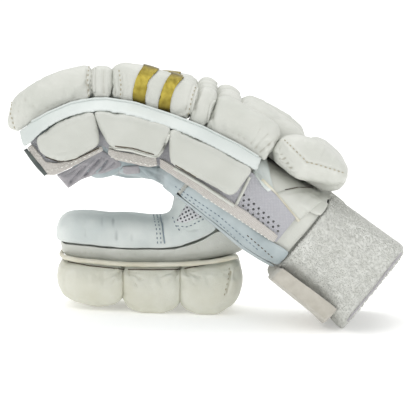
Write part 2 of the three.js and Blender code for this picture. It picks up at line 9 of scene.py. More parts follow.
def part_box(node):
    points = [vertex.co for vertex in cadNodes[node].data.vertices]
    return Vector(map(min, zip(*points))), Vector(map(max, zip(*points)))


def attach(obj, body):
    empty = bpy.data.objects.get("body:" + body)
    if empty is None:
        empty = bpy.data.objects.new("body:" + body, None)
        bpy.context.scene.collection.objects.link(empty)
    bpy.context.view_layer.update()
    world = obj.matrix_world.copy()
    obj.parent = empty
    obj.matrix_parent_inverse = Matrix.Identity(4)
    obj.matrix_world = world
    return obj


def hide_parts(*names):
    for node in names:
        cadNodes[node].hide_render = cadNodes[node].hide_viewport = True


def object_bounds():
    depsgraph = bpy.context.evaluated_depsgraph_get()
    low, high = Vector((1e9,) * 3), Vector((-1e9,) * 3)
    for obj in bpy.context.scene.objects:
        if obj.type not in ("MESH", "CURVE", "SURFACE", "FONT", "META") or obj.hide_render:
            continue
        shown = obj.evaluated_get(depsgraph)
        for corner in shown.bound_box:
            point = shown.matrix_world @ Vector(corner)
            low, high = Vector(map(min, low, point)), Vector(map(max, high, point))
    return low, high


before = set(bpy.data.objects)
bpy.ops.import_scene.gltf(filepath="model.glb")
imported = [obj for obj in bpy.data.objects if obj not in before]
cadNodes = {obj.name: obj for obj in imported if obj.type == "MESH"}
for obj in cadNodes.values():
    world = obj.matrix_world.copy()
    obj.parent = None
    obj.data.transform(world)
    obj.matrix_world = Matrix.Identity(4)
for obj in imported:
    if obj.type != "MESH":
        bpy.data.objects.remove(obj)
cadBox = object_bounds()
scene = bpy.context.scene
pieces = {}  # finished pieces by the name of the CAD node that they replace

# Camera: from the little finger's side, a little above, rolled by the slope that the glove rests with
viewSet = {
    "distance": 1.6,
    "elevation": 8.0,
    "roll": 1.9,
    "frameWidth": 0.27456,
    "target": (0.0, -0.002, 0.0738),
    "offset": (0.001764, 0.003140, -0.0006),
}
roll = math.radians(viewSet["roll"])
elevation = math.radians(viewSet["elevation"])
level = Matrix(((math.cos(roll), 0, -math.sin(roll)), (0, 1, 0), (math.sin(roll), 0, math.cos(roll))))
target = level @ Vector(viewSet["target"]) + Vector(viewSet["offset"])
viewRight = level @ Vector((1, 0, 0))
viewUp = level @ Vector((0, math.sin(elevation), math.cos(elevation)))
viewBack = viewRight.cross(viewUp)
eye = target + viewBack * viewSet["distance"]

camera = bpy.data.objects.new("side_camera", bpy.data.cameras.new("side_camera"))
scene.collection.objects.link(camera)
camera.matrix_world = Matrix.Translation(eye) @ Matrix((viewRight, viewUp, viewBack)).transposed().to_4x4()
camera.data.sensor_width = 36
camera.data.lens = 36 * viewSet["distance"] / viewSet["frameWidth"]
camera.data.clip_start = 0.05
camera.data.clip_end = 60
scene.camera = camera


# Places in the side view are (right, up) in millimetres from the middle of the camera's frame
def onSide(place, trees, lift=0.0):
    aim = target + viewRight * (place[0] / 1000) + viewUp * (place[1] / 1000)
    ray = (aim - eye).normalized()
    hits = [tree.ray_cast(eye, ray) for tree in trees]
    hits = [hit for hit in hits if hit[0] is not None]
    if not hits:
        return None
    point, normal = min(hits, key=lambda hit: hit[3])[:2]
    return point + normal * lift, normal


def sidePlaces(co):
    off = co - np.array(target)
    nearer = 1 - off @ np.array(viewBack) / viewSet["distance"]
    across = np.stack([off @ np.array(viewRight), off @ np.array(viewUp)], 1)
    return across / nearer[:, None] * 1000


def linkMesh(name, mesh):
    obj = bpy.data.objects.new(name, mesh)
    scene.collection.objects.link(obj)
    return obj


def bake(obj):
    # the object's modifiers become its mesh
    graph = bpy.context.evaluated_depsgraph_get()
    mesh = bpy.data.meshes.new_from_object(obj.evaluated_get(graph))
    old = obj.data
    obj.modifiers.clear()
    obj.data = mesh
    bpy.data.meshes.remove(old)
    return obj


def mergedCopy(node, name, quads=False):
    mesh = bpy.data.meshes.new(name)
    shape = bmesh.new()
    shape.from_mesh(cadNodes[node].data)
    bmesh.ops.remove_doubles(shape, verts=shape.verts, dist=2e-6)
    if quads:
        bmesh.ops.join_triangles(shape, faces=shape.faces, angle_face_threshold=0.9,
                                 angle_shape_threshold=1.2)
    shape.to_mesh(mesh)
    shape.free()
    return linkMesh(name, mesh)


def remeshed(node, name, voxel):
    obj = mergedCopy(node, name)
    remesh = obj.modifiers.new("remesh", "REMESH")
    remesh.mode = "VOXEL"
    remesh.voxel_size = voxel
    return bake(obj)


def rounded(node, name, levels):
    obj = mergedCopy(node, name, quads=True)
    smooth = obj.modifiers.new("smooth", "SUBSURF")
    smooth.levels = smooth.render_levels = levels
    return bake(obj)


def finer(node, name, longest):
    obj = mergedCopy(node, name)
    shape = bmesh.new()
    shape.from_mesh(obj.data)
    for _ in range(6):
        long = [edge for edge in shape.edges if edge.calc_length() > longest]
        if not long:
            break
        bmesh.ops.subdivide_edges(shape, edges=long, cuts=1)
        bmesh.ops.triangulate(shape, faces=shape.faces)
    shape.to_mesh(obj.data)
    shape.free()
    return obj


def points(obj):
    co = np.empty(len(obj.data.vertices) * 3)
    obj.data.vertices.foreach_get("co", co)
    return co.reshape(-1, 3)


def setPoints(obj, co):
    obj.data.vertices.foreach_set("co", np.ascontiguousarray(co, np.float32).ravel())
    obj.data.update()


def normals(obj):
    found = np.empty(len(obj.data.vertices) * 3, np.float32)
    obj.data.vertex_normals.foreach_get("vector", found)
    return found.reshape(-1, 3).astype(float)


def edgesOf(obj):
    ends = np.empty(len(obj.data.edges) * 2, np.int32)
    obj.data.edges.foreach_get("vertices", ends)
    return ends.reshape(-1, 2)


def neighbourMean(values, ends):
    count = np.bincount(ends.ravel(), minlength=len(values))
    total = np.empty_like(values)
    for axis in range(values.shape[1]):
        total[:, axis] = np.bincount(ends[:, 0], values[ends[:, 1], axis], len(values))
        total[:, axis] += np.bincount(ends[:, 1], values[ends[:, 0], axis], len(values))
    return total / np.maximum(count, 1)[:, None]


def relax(obj, rounds):
    # evens out facets without shrinking the piece
    co = points(obj)
    ends = edgesOf(obj)
    for _ in range(rounds):
        for push in (0.5, -0.52):
            co += push * (neighbourMean(co, ends) - co)
    setPoints(obj, co)


def subdivideOnce(obj):
    smooth = obj.modifiers.new("smooth", "SUBSURF")
    smooth.levels = smooth.render_levels = 1
    return bake(obj)


def bumpy(obj, size, depth, seed=0.0, stretch=(1, 1, 1)):
    # soft dents and bulges, size across and depth deep
    co = points(obj)
    scale = np.array(stretch) / size
    lift = np.array([noise.noise(Vector(p * scale) + Vector((seed, seed, 0))) for p in co])
    setPoints(obj, co + normals(obj) * (lift * depth)[:, None])


def foldLines(obj, lines, everywhere=False):
    # each line is (path in the side view, width, depth): grooves, or ridges where the depth is negative
    co = points(obj)
    out = normals(obj)
    facing = out @ np.array(viewBack)
    places = sidePlaces(co)
    shift = np.zeros(len(co))
    for path, width, depth in lines:
        path = np.array(path, float)
        closest = np.full(len(co), 1e9)
        alongLine = np.zeros(len(co))
        lengths = np.linalg.norm(np.diff(path, axis=0), axis=1)
        starts = np.concatenate([[0], np.cumsum(lengths)])
        for a, b, before, length in zip(path[:-1], path[1:], starts, lengths):
            share = np.clip(((places - a) @ (b - a)) / length**2, 0, 1)
            distance = np.linalg.norm(places - a - share[:, None] * (b - a), axis=1)
            nearer = distance < closest
            closest[nearer] = distance[nearer]
            alongLine[nearer] = (before + share[nearer] * length) / starts[-1]
        taper = np.clip(8 * np.minimum(alongLine, 1 - alongLine), 0.25, 1)
        shift -= depth / 1000 * taper * np.exp(-((closest / width) ** 2))
    if not everywhere:
        shift *= np.clip(facing * 4, 0, 1)
    setPoints(obj, co + out * shift[:, None])


def pull(obj, place, move, reach):
    # moves what lies near a place of the side view, all in millimetres
    co = points(obj)
    near = np.exp(-((sidePlaces(co) - np.array(place)) ** 2).sum(1) / reach**2)[:, None]
    setPoints(obj, co + near * (np.array(viewRight) * move[0] + np.array(viewUp) * move[1]) / 1000)


def fan(centre, start, end, reach, count, uneven=0.25):
    # gathers that spread from a point, from one angle to another in degrees
    lines = []
    for i in range(count):
        wobble = uneven * math.sin(i * 2.4)
        angle = math.radians(start + (end - start) * (i + 0.5 + wobble) / count)
        far = reach * (0.75 + 0.25 * math.sin(i * 1.7))
        tip = (centre[0] + far * math.cos(angle), centre[1] + far * math.sin(angle))
        near = (centre[0] + 0.12 * far * math.cos(angle), centre[1] + 0.12 * far * math.sin(angle))
        lines.append((near, tip))
    return lines


def markFolds(obj):
    # how hollow the surface is at each point, for the materials, which darken the hollows with painted shade
    co = points(obj)
    ends = edgesOf(obj)
    length = np.linalg.norm(co[ends[:, 0]] - co[ends[:, 1]], axis=1).mean()
    hollow = ((neighbourMean(co, ends) - co) * normals(obj)).sum(1, keepdims=True) / length**2
    hollow = neighbourMean(hollow, ends) * 0.5 + hollow * 0.5
    fold = obj.data.attributes.new("fold", "FLOAT", "POINT")
    fold.data.foreach_set("value", np.clip(hollow[:, 0] / 260, -1, 1.5).astype(np.float32))


def treeOf(obj):
    shape = bmesh.new()
    shape.from_mesh(obj.data)
    tree = BVHTree.FromBMesh(shape)
    shape.free()
    return tree


def linear(colour):
    parts = [int(colour[i:i + 2], 16) / 255 for i in (1, 3, 5)]
    return [c / 12.92 if c <= 0.04045 else ((c + 0.055) / 1.055) ** 2.4 for c in parts] + [1.0]


def addNode(tree, kind, sockets=None, links=None, **settings):
    node = tree.nodes.new(kind)
    for key, value in settings.items():
        setattr(node, key, value)
    for key, value in (sockets or {}).items():
        node.inputs[key].default_value = value
    for key, source in (links or {}).items():
        tree.links.new(source, node.inputs[key])
    return node


def newMaterial(name):
    material = bpy.data.materials.new(name)
    material.use_nodes = True
    material.node_tree.nodes.clear()
    return material, material.node_tree


def closeMaterial(tree, sockets, links):
    shader = addNode(tree, "ShaderNodeBsdfPrincipled", sockets, links)
    addNode(tree, "ShaderNodeOutputMaterial", links={"Surface": shader.outputs[0]})


waveStep = 0.314  # metres between the bands of a wave texture at a scale of 1


# Coated leather: pressed grain of small round cells, soft blotches, a warm dark tone where it is folded that
# is partly grime and partly painted shade, and lighter ridges
def coatedLeather(name, look):
    material, tree = newMaterial(name)
    place = addNode(tree, "ShaderNodeTexCoord").outputs["Object"]
    blotch = addNode(tree, "ShaderNodeTexNoise", {"Scale": 1 / look["blotch"], "Detail": 4.0},
                     {"Vector": place})
    spread = addNode(tree, "ShaderNodeMapRange", {"From Min": 0.35, "From Max": 0.68},
                     {"Value": blotch.outputs["Fac"]})
    base = addNode(tree, "ShaderNodeMix", {6: linear(look["light"]), 7: linear(look["shade"])},
                   {0: spread.outputs[0]}, data_type="RGBA")
    fold = addNode(tree, "ShaderNodeAttribute", attribute_name="fold").outputs["Fac"]
    # hollows take the dark grime colour: partly grime, partly painted shade
    grimeAndShade = addNode(tree, "ShaderNodeMapRange",
                    {"From Min": 0.28, "From Max": 1.4, "To Max": look["grimeAndShadeMost"]}, {"Value": fold})
    tint = addNode(tree, "ShaderNodeMix", {7: linear(look["grimeAndShade"])},
                   {0: grimeAndShade.outputs[0], 6: base.outputs[2]}, data_type="RGBA")
    # ridges are lighter, towards the edge colour
    ridgeShare = addNode(tree, "ShaderNodeMapRange", {"From Min": -0.25, "From Max": -1.0, "To Max": 0.5},
                   {"Value": fold})
    colour = addNode(tree, "ShaderNodeMix", {7: linear(look["edge"])},
                     {0: ridgeShare.outputs[0], 6: tint.outputs[2]}, data_type="RGBA")
    cells = addNode(tree, "ShaderNodeTexVoronoi", {"Scale": 1 / look["grain"]}, {"Vector": place},
                    feature="DISTANCE_TO_EDGE")
    cellTop = addNode(tree, "ShaderNodeMapRange", {"From Max": 0.25}, {"Value": cells.outputs["Distance"]})
    grain = addNode(tree, "ShaderNodeBump", {"Strength": 0.55, "Distance": look["grainDepth"]},
                    {"Height": cellTop.outputs[0]})
    crinkle = addNode(tree, "ShaderNodeTexNoise",
                      {"Scale": 1 / look["crinkle"], "Detail": 5.0, "Distortion": 0.6}, {"Vector": place})
    creased = addNode(tree, "ShaderNodeBump", {"Strength": 0.6, "Distance": look["crinkleDepth"]},
                      {"Height": crinkle.outputs["Fac"], "Normal": grain.outputs[0]})
    gloss = addNode(tree, "ShaderNodeMapRange",
                    {"To Min": look["roughness"] - 0.07, "To Max": look["roughness"] + 0.1},
                    {"Value": crinkle.outputs["Fac"]})
    closeMaterial(tree, {"IOR": 1.5, "Coat Weight": look["coat"], "Coat Roughness": 0.32},
                  {"Base Color": colour.outputs[2], "Roughness": gloss.outputs[0],
                   "Normal": creased.outputs[0]})
    return material


# Brushed, matte palm leather: a nap with hardly any gloss, mottled grey, and darker in its hollows with
# grime and painted shade
def palmLeatherMade(name, look):
    material, tree = newMaterial(name)
    place = addNode(tree, "ShaderNodeTexCoord").outputs["Object"]
    blotch = addNode(tree, "ShaderNodeTexNoise", {"Scale": 1 / look["blotch"], "Detail": 5.0},
                     {"Vector": place})
    spread = addNode(tree, "ShaderNodeMapRange", {"From Min": 0.35, "From Max": 0.65},
                     {"Value": blotch.outputs["Fac"]})
    base = addNode(tree, "ShaderNodeMix", {6: linear(look["light"]), 7: linear(look["shade"])},
                   {0: spread.outputs[0]}, data_type="RGBA")
    fold = addNode(tree, "ShaderNodeAttribute", attribute_name="fold").outputs["Fac"]
    # hollows darken towards the grime colour: partly grime, partly painted shade
    deep = addNode(tree, "ShaderNodeMapRange", {"From Min": 0.1, "From Max": 1.0, "To Max": 0.6},
                   {"Value": fold})
    colour = addNode(tree, "ShaderNodeMix", {7: linear(look["grimeAndShade"])},
                     {0: deep.outputs[0], 6: base.outputs[2]}, data_type="RGBA")
    nap = addNode(tree, "ShaderNodeTexNoise", {"Scale": 1 / look["nap"], "Detail": 3.0}, {"Vector": place})
    rough = addNode(tree, "ShaderNodeBump", {"Strength": 0.6, "Distance": look["napDepth"]},
                    {"Height": nap.outputs["Fac"]})
    closeMaterial(tree, {"IOR": 1.45, "Roughness": look["roughness"], "Sheen Weight": 0.25,
                  "Sheen Roughness": 0.5}, {"Base Color": colour.outputs[2], "Normal": rough.outputs[0]})
    return material


# Woven tape or knitted cloth: ribs both ways, drawn coarser than the real threads so that they show, with
# painted shade in its creases
def wovenCloth(name, look, attribute=None):
    material, tree = newMaterial(name)
    if attribute:
        place = addNode(tree, "ShaderNodeAttribute", attribute_name=attribute).outputs["Vector"]
    else:
        place = addNode(tree, "ShaderNodeTexCoord").outputs["Object"]
    ribs = [
        addNode(tree, "ShaderNodeTexWave",
                {"Scale": waveStep / look["thread"], "Distortion": 1.2, "Detail": 1.0, "Detail Scale": 2.0},
                {"Vector": place}, bands_direction=axis)
        for axis in look["axes"]
    ]
    crossed = addNode(tree, "ShaderNodeMath", links={0: ribs[0].outputs["Fac"], 1: ribs[1].outputs["Fac"]},
                      operation="MULTIPLY")
    fuzz = addNode(tree, "ShaderNodeTexNoise", {"Scale": 1 / look["blotch"], "Detail": 6.0},
                   {"Vector": place})
    shade = addNode(tree, "ShaderNodeMath", links={0: crossed.outputs[0], 1: fuzz.outputs["Fac"]},
                    operation="ADD")
    spread = addNode(tree, "ShaderNodeMapRange", {"From Min": 0.4, "From Max": 1.3},
                     {"Value": shade.outputs[0]})
    base = addNode(tree, "ShaderNodeMix", {6: linear(look["shade"]), 7: linear(look["light"])},
                   {0: spread.outputs[0]}, data_type="RGBA")
    # creases darken towards the crease colour: painted shade
    fold = addNode(tree, "ShaderNodeAttribute", attribute_name="fold").outputs["Fac"]
    deep = addNode(tree, "ShaderNodeMapRange", {"From Min": 0.1, "From Max": 1.2, "To Max": 0.7},
                   {"Value": fold})
    colour = addNode(tree, "ShaderNodeMix", {7: linear(look["crease"])},
                     {0: deep.outputs[0], 6: base.outputs[2]}, data_type="RGBA")
    threads = addNode(tree, "ShaderNodeBump", {"Strength": 0.8, "Distance": look["depth"]},
                      {"Height": crossed.outputs[0]})
    closeMaterial(tree, {"IOR": 1.5, "Roughness": 0.9, "Sheen Weight": 0.2, "Sheen Roughness": 0.5},
                  {"Base Color": colour.outputs[2], "Normal": threads.outputs[0]})
    return material


# Eyelet net: white knit with rows of holes that are too small to cut, each a dark spot of painted shade
def eyeletNet(name, look):
    material, tree = newMaterial(name)
    place = addNode(tree, "ShaderNodeTexCoord").outputs["Object"]
    flat = addNode(tree, "ShaderNodeMapping", {"Scale": (1, 0, 1), "Rotation": (0, 0.5, 0)},
                   {"Vector": place})
    holes = addNode(tree, "ShaderNodeTexVoronoi", {"Scale": 1 / look["pitch"], "Randomness": 0.15},
                    {"Vector": flat.outputs["Vector"]})
    knit = addNode(tree, "ShaderNodeMapRange", {"From Min": 0.2, "From Max": 0.34},
                   {"Value": holes.outputs["Distance"]})
    colour = addNode(tree, "ShaderNodeMix", {6: linear(look["hole"]), 7: linear(look["knit"])},
                     {0: knit.outputs[0]}, data_type="RGBA")
    sunk = addNode(tree, "ShaderNodeBump", {"Strength": 1.0, "Distance": look["depth"]},
                   {"Height": knit.outputs[0]})
    closeMaterial(tree, {"IOR": 1.5, "Roughness": 0.9},
                  {"Base Color": colour.outputs[2], "Normal": sunk.outputs[0]})
    return material


# Metallised satin: foil-bright weft floats in fine lines across the stripe, darker above and below a bright
# band: painted reflection
def metallicSatin(name, look):
    material, tree = newMaterial(name)
    place = addNode(tree, "ShaderNodeTexCoord").outputs["Object"]
    lines = addNode(tree, "ShaderNodeTexWave",
                    {"Scale": waveStep / look["thread"], "Distortion": 0.8, "Detail": 2.0},
                    {"Vector": place}, bands_direction="X")
    slub = addNode(tree, "ShaderNodeTexNoise", {"Scale": 1 / look["blotch"], "Detail": 5.0},
                   {"Vector": place})
    colour = addNode(tree, "ShaderNodeMix", {6: linear(look["shade"]), 7: linear(look["light"])},
                     {0: slub.outputs["Fac"]}, data_type="RGBA")
    # painted reflection: darker away from the height that catches the light
    reflectionDark = addNode(tree, "ShaderNodeAttribute", attribute_name="reflectionDark").outputs["Fac"]
    turned = addNode(tree, "ShaderNodeMix", {7: linear(look["dark"])}, {0: reflectionDark, 6: colour.outputs[2]},
                     data_type="RGBA")
    gloss = addNode(tree, "ShaderNodeMapRange",
                    {"To Min": look["roughness"] - 0.06, "To Max": look["roughness"] + 0.12},
                    {"Value": slub.outputs["Fac"]})
    threads = addNode(tree, "ShaderNodeBump", {"Strength": 0.5, "Distance": look["depth"]},
                      {"Height": lines.outputs["Fac"]})
    closeMaterial(tree, {"Metallic": 0.85, "Sheen Weight": 0.1},
                  {"Base Color": turned.outputs[2], "Roughness": gloss.outputs[0],
                   "Normal": threads.outputs[0]})
    return material


# Cotton: dull, fibrous and a little uneven, for towelling loops and sewing thread
def cotton(name, look):
    material, tree = newMaterial(name)
    place = addNode(tree, "ShaderNodeTexCoord").outputs["Object"]
    patches = addNode(tree, "ShaderNodeTexNoise", {"Scale": 1 / look["blotch"], "Detail": 4.0},
                      {"Vector": place})
    spread = addNode(tree, "ShaderNodeMapRange", {"From Min": 0.33, "From Max": 0.66},
                     {"Value": patches.outputs["Fac"]})
    colour = addNode(tree, "ShaderNodeMix", {6: linear(look["light"]), 7: linear(look["shade"])},
                     {0: spread.outputs[0]}, data_type="RGBA")
    fibre = addNode(tree, "ShaderNodeTexNoise", {"Scale": 1 / look["fibre"], "Detail": 2.0},
                    {"Vector": place})
    fuzzy = addNode(tree, "ShaderNodeBump", {"Strength": 0.7, "Distance": look["fibre"] * 0.4},
                    {"Height": fibre.outputs["Fac"]})
    closeMaterial(tree, {"IOR": 1.45, "Roughness": 0.95, "Sheen Weight": 0.3, "Sheen Roughness": 0.6},
                  {"Base Color": colour.outputs[2], "Normal": fuzzy.outputs[0]})
    return material


# each leather's grime colour is the dark tone of its hollows: partly grime, partly painted shade
whiteLeather = coatedLeather("coated_white_leather", {
    "light": "#D0D1CA", "shade": "#C6C8C0", "grimeAndShade": "#7E7459", "edge": "#DFE0DA", "grimeAndShadeMost": 0.55,
    "blotch": 0.022, "grain": 0.0011, "grainDepth": 0.00012, "crinkle": 0.0042, "crinkleDepth": 0.0005,
    "roughness": 0.44, "coat": 0.12})
# a darker copy of the white leather for the side blocks, whose faces turn sideways: painted shade
shadedBlockLeather = coatedLeather("coated_block_leather_painted_shade", {
    "light": "#C3C5BE", "shade": "#BBBDB5", "grimeAndShade": "#7E7459", "edge": "#D8D9D3", "grimeAndShadeMost": 0.5,
    "blotch": 0.03, "grain": 0.0009, "grainDepth": 0.00008, "crinkle": 0.006, "crinkleDepth": 0.0003,
    "roughness": 0.42, "coat": 0.15})
barLeather = coatedLeather("coated_bluish_leather", {
    "light": "#D4DAD7", "shade": "#C9D0CD", "grimeAndShade": "#858880", "edge": "#DFE3E1", "grimeAndShadeMost": 0.5,
    "blotch": 0.03, "grain": 0.0009, "grainDepth": 0.00007, "crinkle": 0.006, "crinkleDepth": 0.0003,
    "roughness": 0.38, "coat": 0.2})
creamLeather = coatedLeather("coated_cream_leather", {
    "light": "#DAD7C8", "shade": "#CEC9B5", "grimeAndShade": "#7A6A42", "edge": "#E6E3D6", "grimeAndShadeMost": 0.7,
    "blotch": 0.012, "grain": 0.001, "grainDepth": 0.0001, "crinkle": 0.003, "crinkleDepth": 0.0004,
    "roughness": 0.5, "coat": 0.08})
padLeather = coatedLeather("coated_ivory_leather", {
    "light": "#D9D9CD", "shade": "#D0CFBF", "grimeAndShade": "#877748", "edge": "#E4E3D9", "grimeAndShadeMost": 0.6,
    "blotch": 0.02, "grain": 0.0011, "grainDepth": 0.00012, "crinkle": 0.0038, "crinkleDepth": 0.0005,
    "roughness": 0.42, "coat": 0.14})
# a lighter copy of the grey palm leather for the thumb, which lies in shade under the fingers: painted light
litThumbLeather = palmLeatherMade("brushed_palm_leather_painted_light", {
    "light": "#DDE2DF", "shade": "#CDD4D2", "grimeAndShade": "#7F8789", "blotch": 0.02, "nap": 0.0009,
    "napDepth": 0.00025, "roughness": 0.85})
palmLeather = palmLeatherMade("brushed_grey_palm_leather", {
    "light": "#B4BEC0", "shade": "#A0ABAE", "grimeAndShade": "#5A6266", "blotch": 0.016, "nap": 0.0009,
    "napDepth": 0.00025, "roughness": 0.85})
piercedNet = eyeletNet("white_eyelet_net", {
    "knit": "#D8D8DA", "hole": "#3C3F45", "pitch": 0.0024, "depth": 0.0004})
tapeCloth = wovenCloth("woven_binding_tape", {
    "light": "#D8D5D0", "shade": "#BDB8B2", "crease": "#8C867E", "thread": 0.0010,
    "blotch": 0.0015, "depth": 0.0004, "axes": ("X", "Y")}, attribute="strip")
lilacCloth = wovenCloth("woven_stall_cloth", {
    "light": "#B6B3B6", "shade": "#A3A0A4", "crease": "#6E7076", "thread": 0.0008,
    "blotch": 0.003, "depth": 0.0002, "axes": ("X", "Z")})
netCloth = wovenCloth("knitted_spacer_net", {
    "light": "#BEBEC2", "shade": "#ACACB2", "crease": "#77757F", "thread": 0.0010,
    "blotch": 0.002, "depth": 0.0003, "axes": ("X", "Z")})
# the dark colour is the painted reflection's dark tone above and below the bright band
goldSatin = metallicSatin("gold_metallised_satin", {
    "light": "#D6C55E", "shade": "#84701C", "dark": "#403510", "thread": 0.0008, "blotch": 0.003,
    "depth": 0.00025, "roughness": 0.3})
terryCotton = cotton("looped_terry_cotton", {
    "light": "#D9DAD5", "shade": "#D1D2CC", "blotch": 0.004, "fibre": 0.0009})
liningCotton = cotton("brushed_cotton_lining", {
    "light": "#BFBBB1", "shade": "#B2AEA3", "blotch": 0.006, "fibre": 0.0005})
tanThread = cotton("tan_polyester_thread", {
    "light": "#B5AD95", "shade": "#9A927A", "blotch": 0.004, "fibre": 0.0006})
# a dark cloth for the mouth of the little finger's stall: painted shadow
mouthShadowCloth = cotton("painted_shadow_cloth", {
    "light": "#5B625F", "shade": "#434A49", "blotch": 0.005, "fibre": 0.0006})
# grey-blue thread for stitches, also used for the thumb lip's line of painted shadow
needleThreadAndShadowLine = cotton("grey_blue_thread_and_shadow_line", {
    "light": "#8B99A3", "shade": "#6C7A86", "blotch": 0.004, "fibre": 0.0006})
paleThread = cotton("pale_polyester_thread", {
    "light": "#F1F1EC", "shade": "#D9D8D0", "blotch": 0.004, "fibre": 0.0006})
# brown thread for stitches, also used for the dark lines of painted shadow where parts meet
darkThreadAndShadowLine = cotton("brown_thread_and_shadow_line", {
    "light": "#5E5240", "shade": "#3B3329", "blotch": 0.004, "fibre": 0.0006})
print("materials ready")


def finishPiece(obj, node, material, smooth=True):
    obj.data.materials.clear()
    obj.data.materials.append(material)
    obj.data.polygons.foreach_set("use_smooth", [smooth] * len(obj.data.polygons))
    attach(obj, "root")
    if node:
        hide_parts(node)
        pieces[node] = obj
    return obj


# Foam pieces: rolls, blocks and pads
fingerNames = ("little", "ring", "middle", "index")
foamSet = {
    "nearVoxel": 0.0018,
    "farVoxel": 0.0025,
    "start": 0.0005,      # how much smaller each piece starts
    "cap": 0.0020,        # the most that the leather may swell
    "padCap": 0.0026,
    "pressure": 5.0,
    "growth": 0.05,       # spare leather, which puckers at the seams
    "steps": 20,
    "simScale": 10,       # cloth settings suit things of furniture size
    "evenings": 8,
    "sewnFrom": 0.45,     # how squarely a point faces the sewn side to be held there
    "dents": (0.016, 0.0007),    # size and depth
    "puckers": (0.006, 0.0002),
}
# Firm foam: it starts a little larger, is spread sideways and hardly swells
blockSet = {"voxel": 0.0013, "evenings": 2, "start": -0.0003, "spread": 1.055, "cap": 0.0005}
cuffSet = {"voxel": 0.0017, "evenings": 3}
seamSides = {  # the way that each foam piece's sewn side faces
    "tip_pad": (0.4, 0, -0.92), "hinge_roll": (0, 0, -1), "mid_roll": (-0.27, 0, -0.96),
    "knuckle_roll": (-0.4, 0, -0.92), "back_roll": (-0.52, 0, -0.85), "thumb_pad": (0, 0, 1),
    "side_block": (0, 1, 0), "cuff_roll": (-0.6, 0, -0.8),
}
nearFoam = ["tip_pad_little", "hinge_roll_little", "mid_roll_little", "knuckle_roll_little",
            "back_roll_little", "side_block_1", "side_block_2", "side_block_3",
            "thumb_pad_1", "thumb_pad_2", "thumb_pad_3", "cuff_roll"]
farFoam = [f"{part}_{finger}" for finger in fingerNames[1:]
           for part in ("tip_pad", "hinge_roll", "mid_roll", "knuckle_roll", "back_roll_a", "back_roll_b")]


def seamSide(node):
    return next(np.array(side) for part, side in seamSides.items() if node.startswith(part))


def swell(foam):
    # all the foam pieces blown up together as cloth, held where they are sewn down
    size = foamSet["simScale"]
    start, faces, spans, held = [], [], {}, []
    for node, obj in foam.items():
        first = sum(len(part) for part in start)
        co = points(obj)
        out = normals(obj)
        start.append(co - out * (blockSet if node.startswith("side_block") else foamSet)["start"])
        spans[node] = (first, first + len(co))
        faces += [[first + k for k in face.vertices] for face in obj.data.polygons]
        sewn = np.nonzero(out @ seamSide(node) > foamSet["sewnFrom"])[0]
        held += [int(first + k) for k in sewn]
    start = np.concatenate(start)
    mesh = bpy.data.meshes.new("swelling_foam")
    mesh.from_pydata((start * size).tolist(), [], faces)
    joined = linkMesh("swelling_foam", mesh)
    joined.vertex_groups.new(name="sewn").add(held, 1.0, "REPLACE")
    cloth = joined.modifiers.new("cloth", "CLOTH")
    made = cloth.settings
    made.quality = 5
    made.mass = 0.03
    made.air_damping = 3
    made.tension_stiffness = made.compression_stiffness = 12
    made.shear_stiffness = 4
    made.bending_stiffness = 0.05
    made.use_pressure = True
    made.uniform_pressure_force = foamSet["pressure"]
    made.shrink_min = -foamSet["growth"]
    made.vertex_group_mass = "sewn"
    made.effector_weights.gravity = 0
    cloth.point_cache.frame_start = 1
    cloth.point_cache.frame_end = foamSet["steps"]
    for step in range(1, foamSet["steps"] + 1):
        scene.frame_set(step)
    graph = bpy.context.evaluated_depsgraph_get()
    end = points(joined.evaluated_get(graph)) / size
    scene.frame_set(1)
    bpy.data.objects.remove(joined)
    for node, (first, last) in spans.items():
        move = end[first:last] - start[first:last]
        far = np.linalg.norm(move, axis=1, keepdims=True)
        cap = foamSet["padCap"] if node.startswith("thumb_pad") else foamSet["cap"]
        if node.startswith("side_block"):
            cap = blockSet["cap"]
        setPoints(foam[node], start[first:last] + move * np.minimum(1, cap / np.maximum(far, 1e-9)))
        print("  swelled", node, "by up to %.2f mm, mean %.2f" % (1000 * far.max(), 1000 * far.mean()))


foam = {}
for node in nearFoam + farFoam:
    voxel, evenings = foamSet["farVoxel"], foamSet["evenings"]
    if node in nearFoam:
        voxel = foamSet["nearVoxel"]
    if node == "cuff_roll":
        voxel, evenings = cuffSet["voxel"], cuffSet["evenings"]
    if node.startswith("side_block"):
        voxel, evenings = blockSet["voxel"], blockSet["evenings"]
    foam[node] = remeshed(node, node + "_foam", voxel)
    relax(foam[node], evenings)
    if node.startswith("side_block"):
        co = points(foam[node])
        middle = (co.max(0) + co.min(0)) / 2
        co[:, 0] = middle[0] + (co[:, 0] - middle[0]) * blockSet["spread"]
        co[:, 2] = middle[2] + (co[:, 2] - middle[2]) * blockSet["spread"]
        setPoints(foam[node], co)
print("foam remeshed:", sum(len(obj.data.vertices) for obj in foam.values()), "points")
swell(foam)
for node in nearFoam:
    subdivideOnce(foam[node])
print("foam swelled")

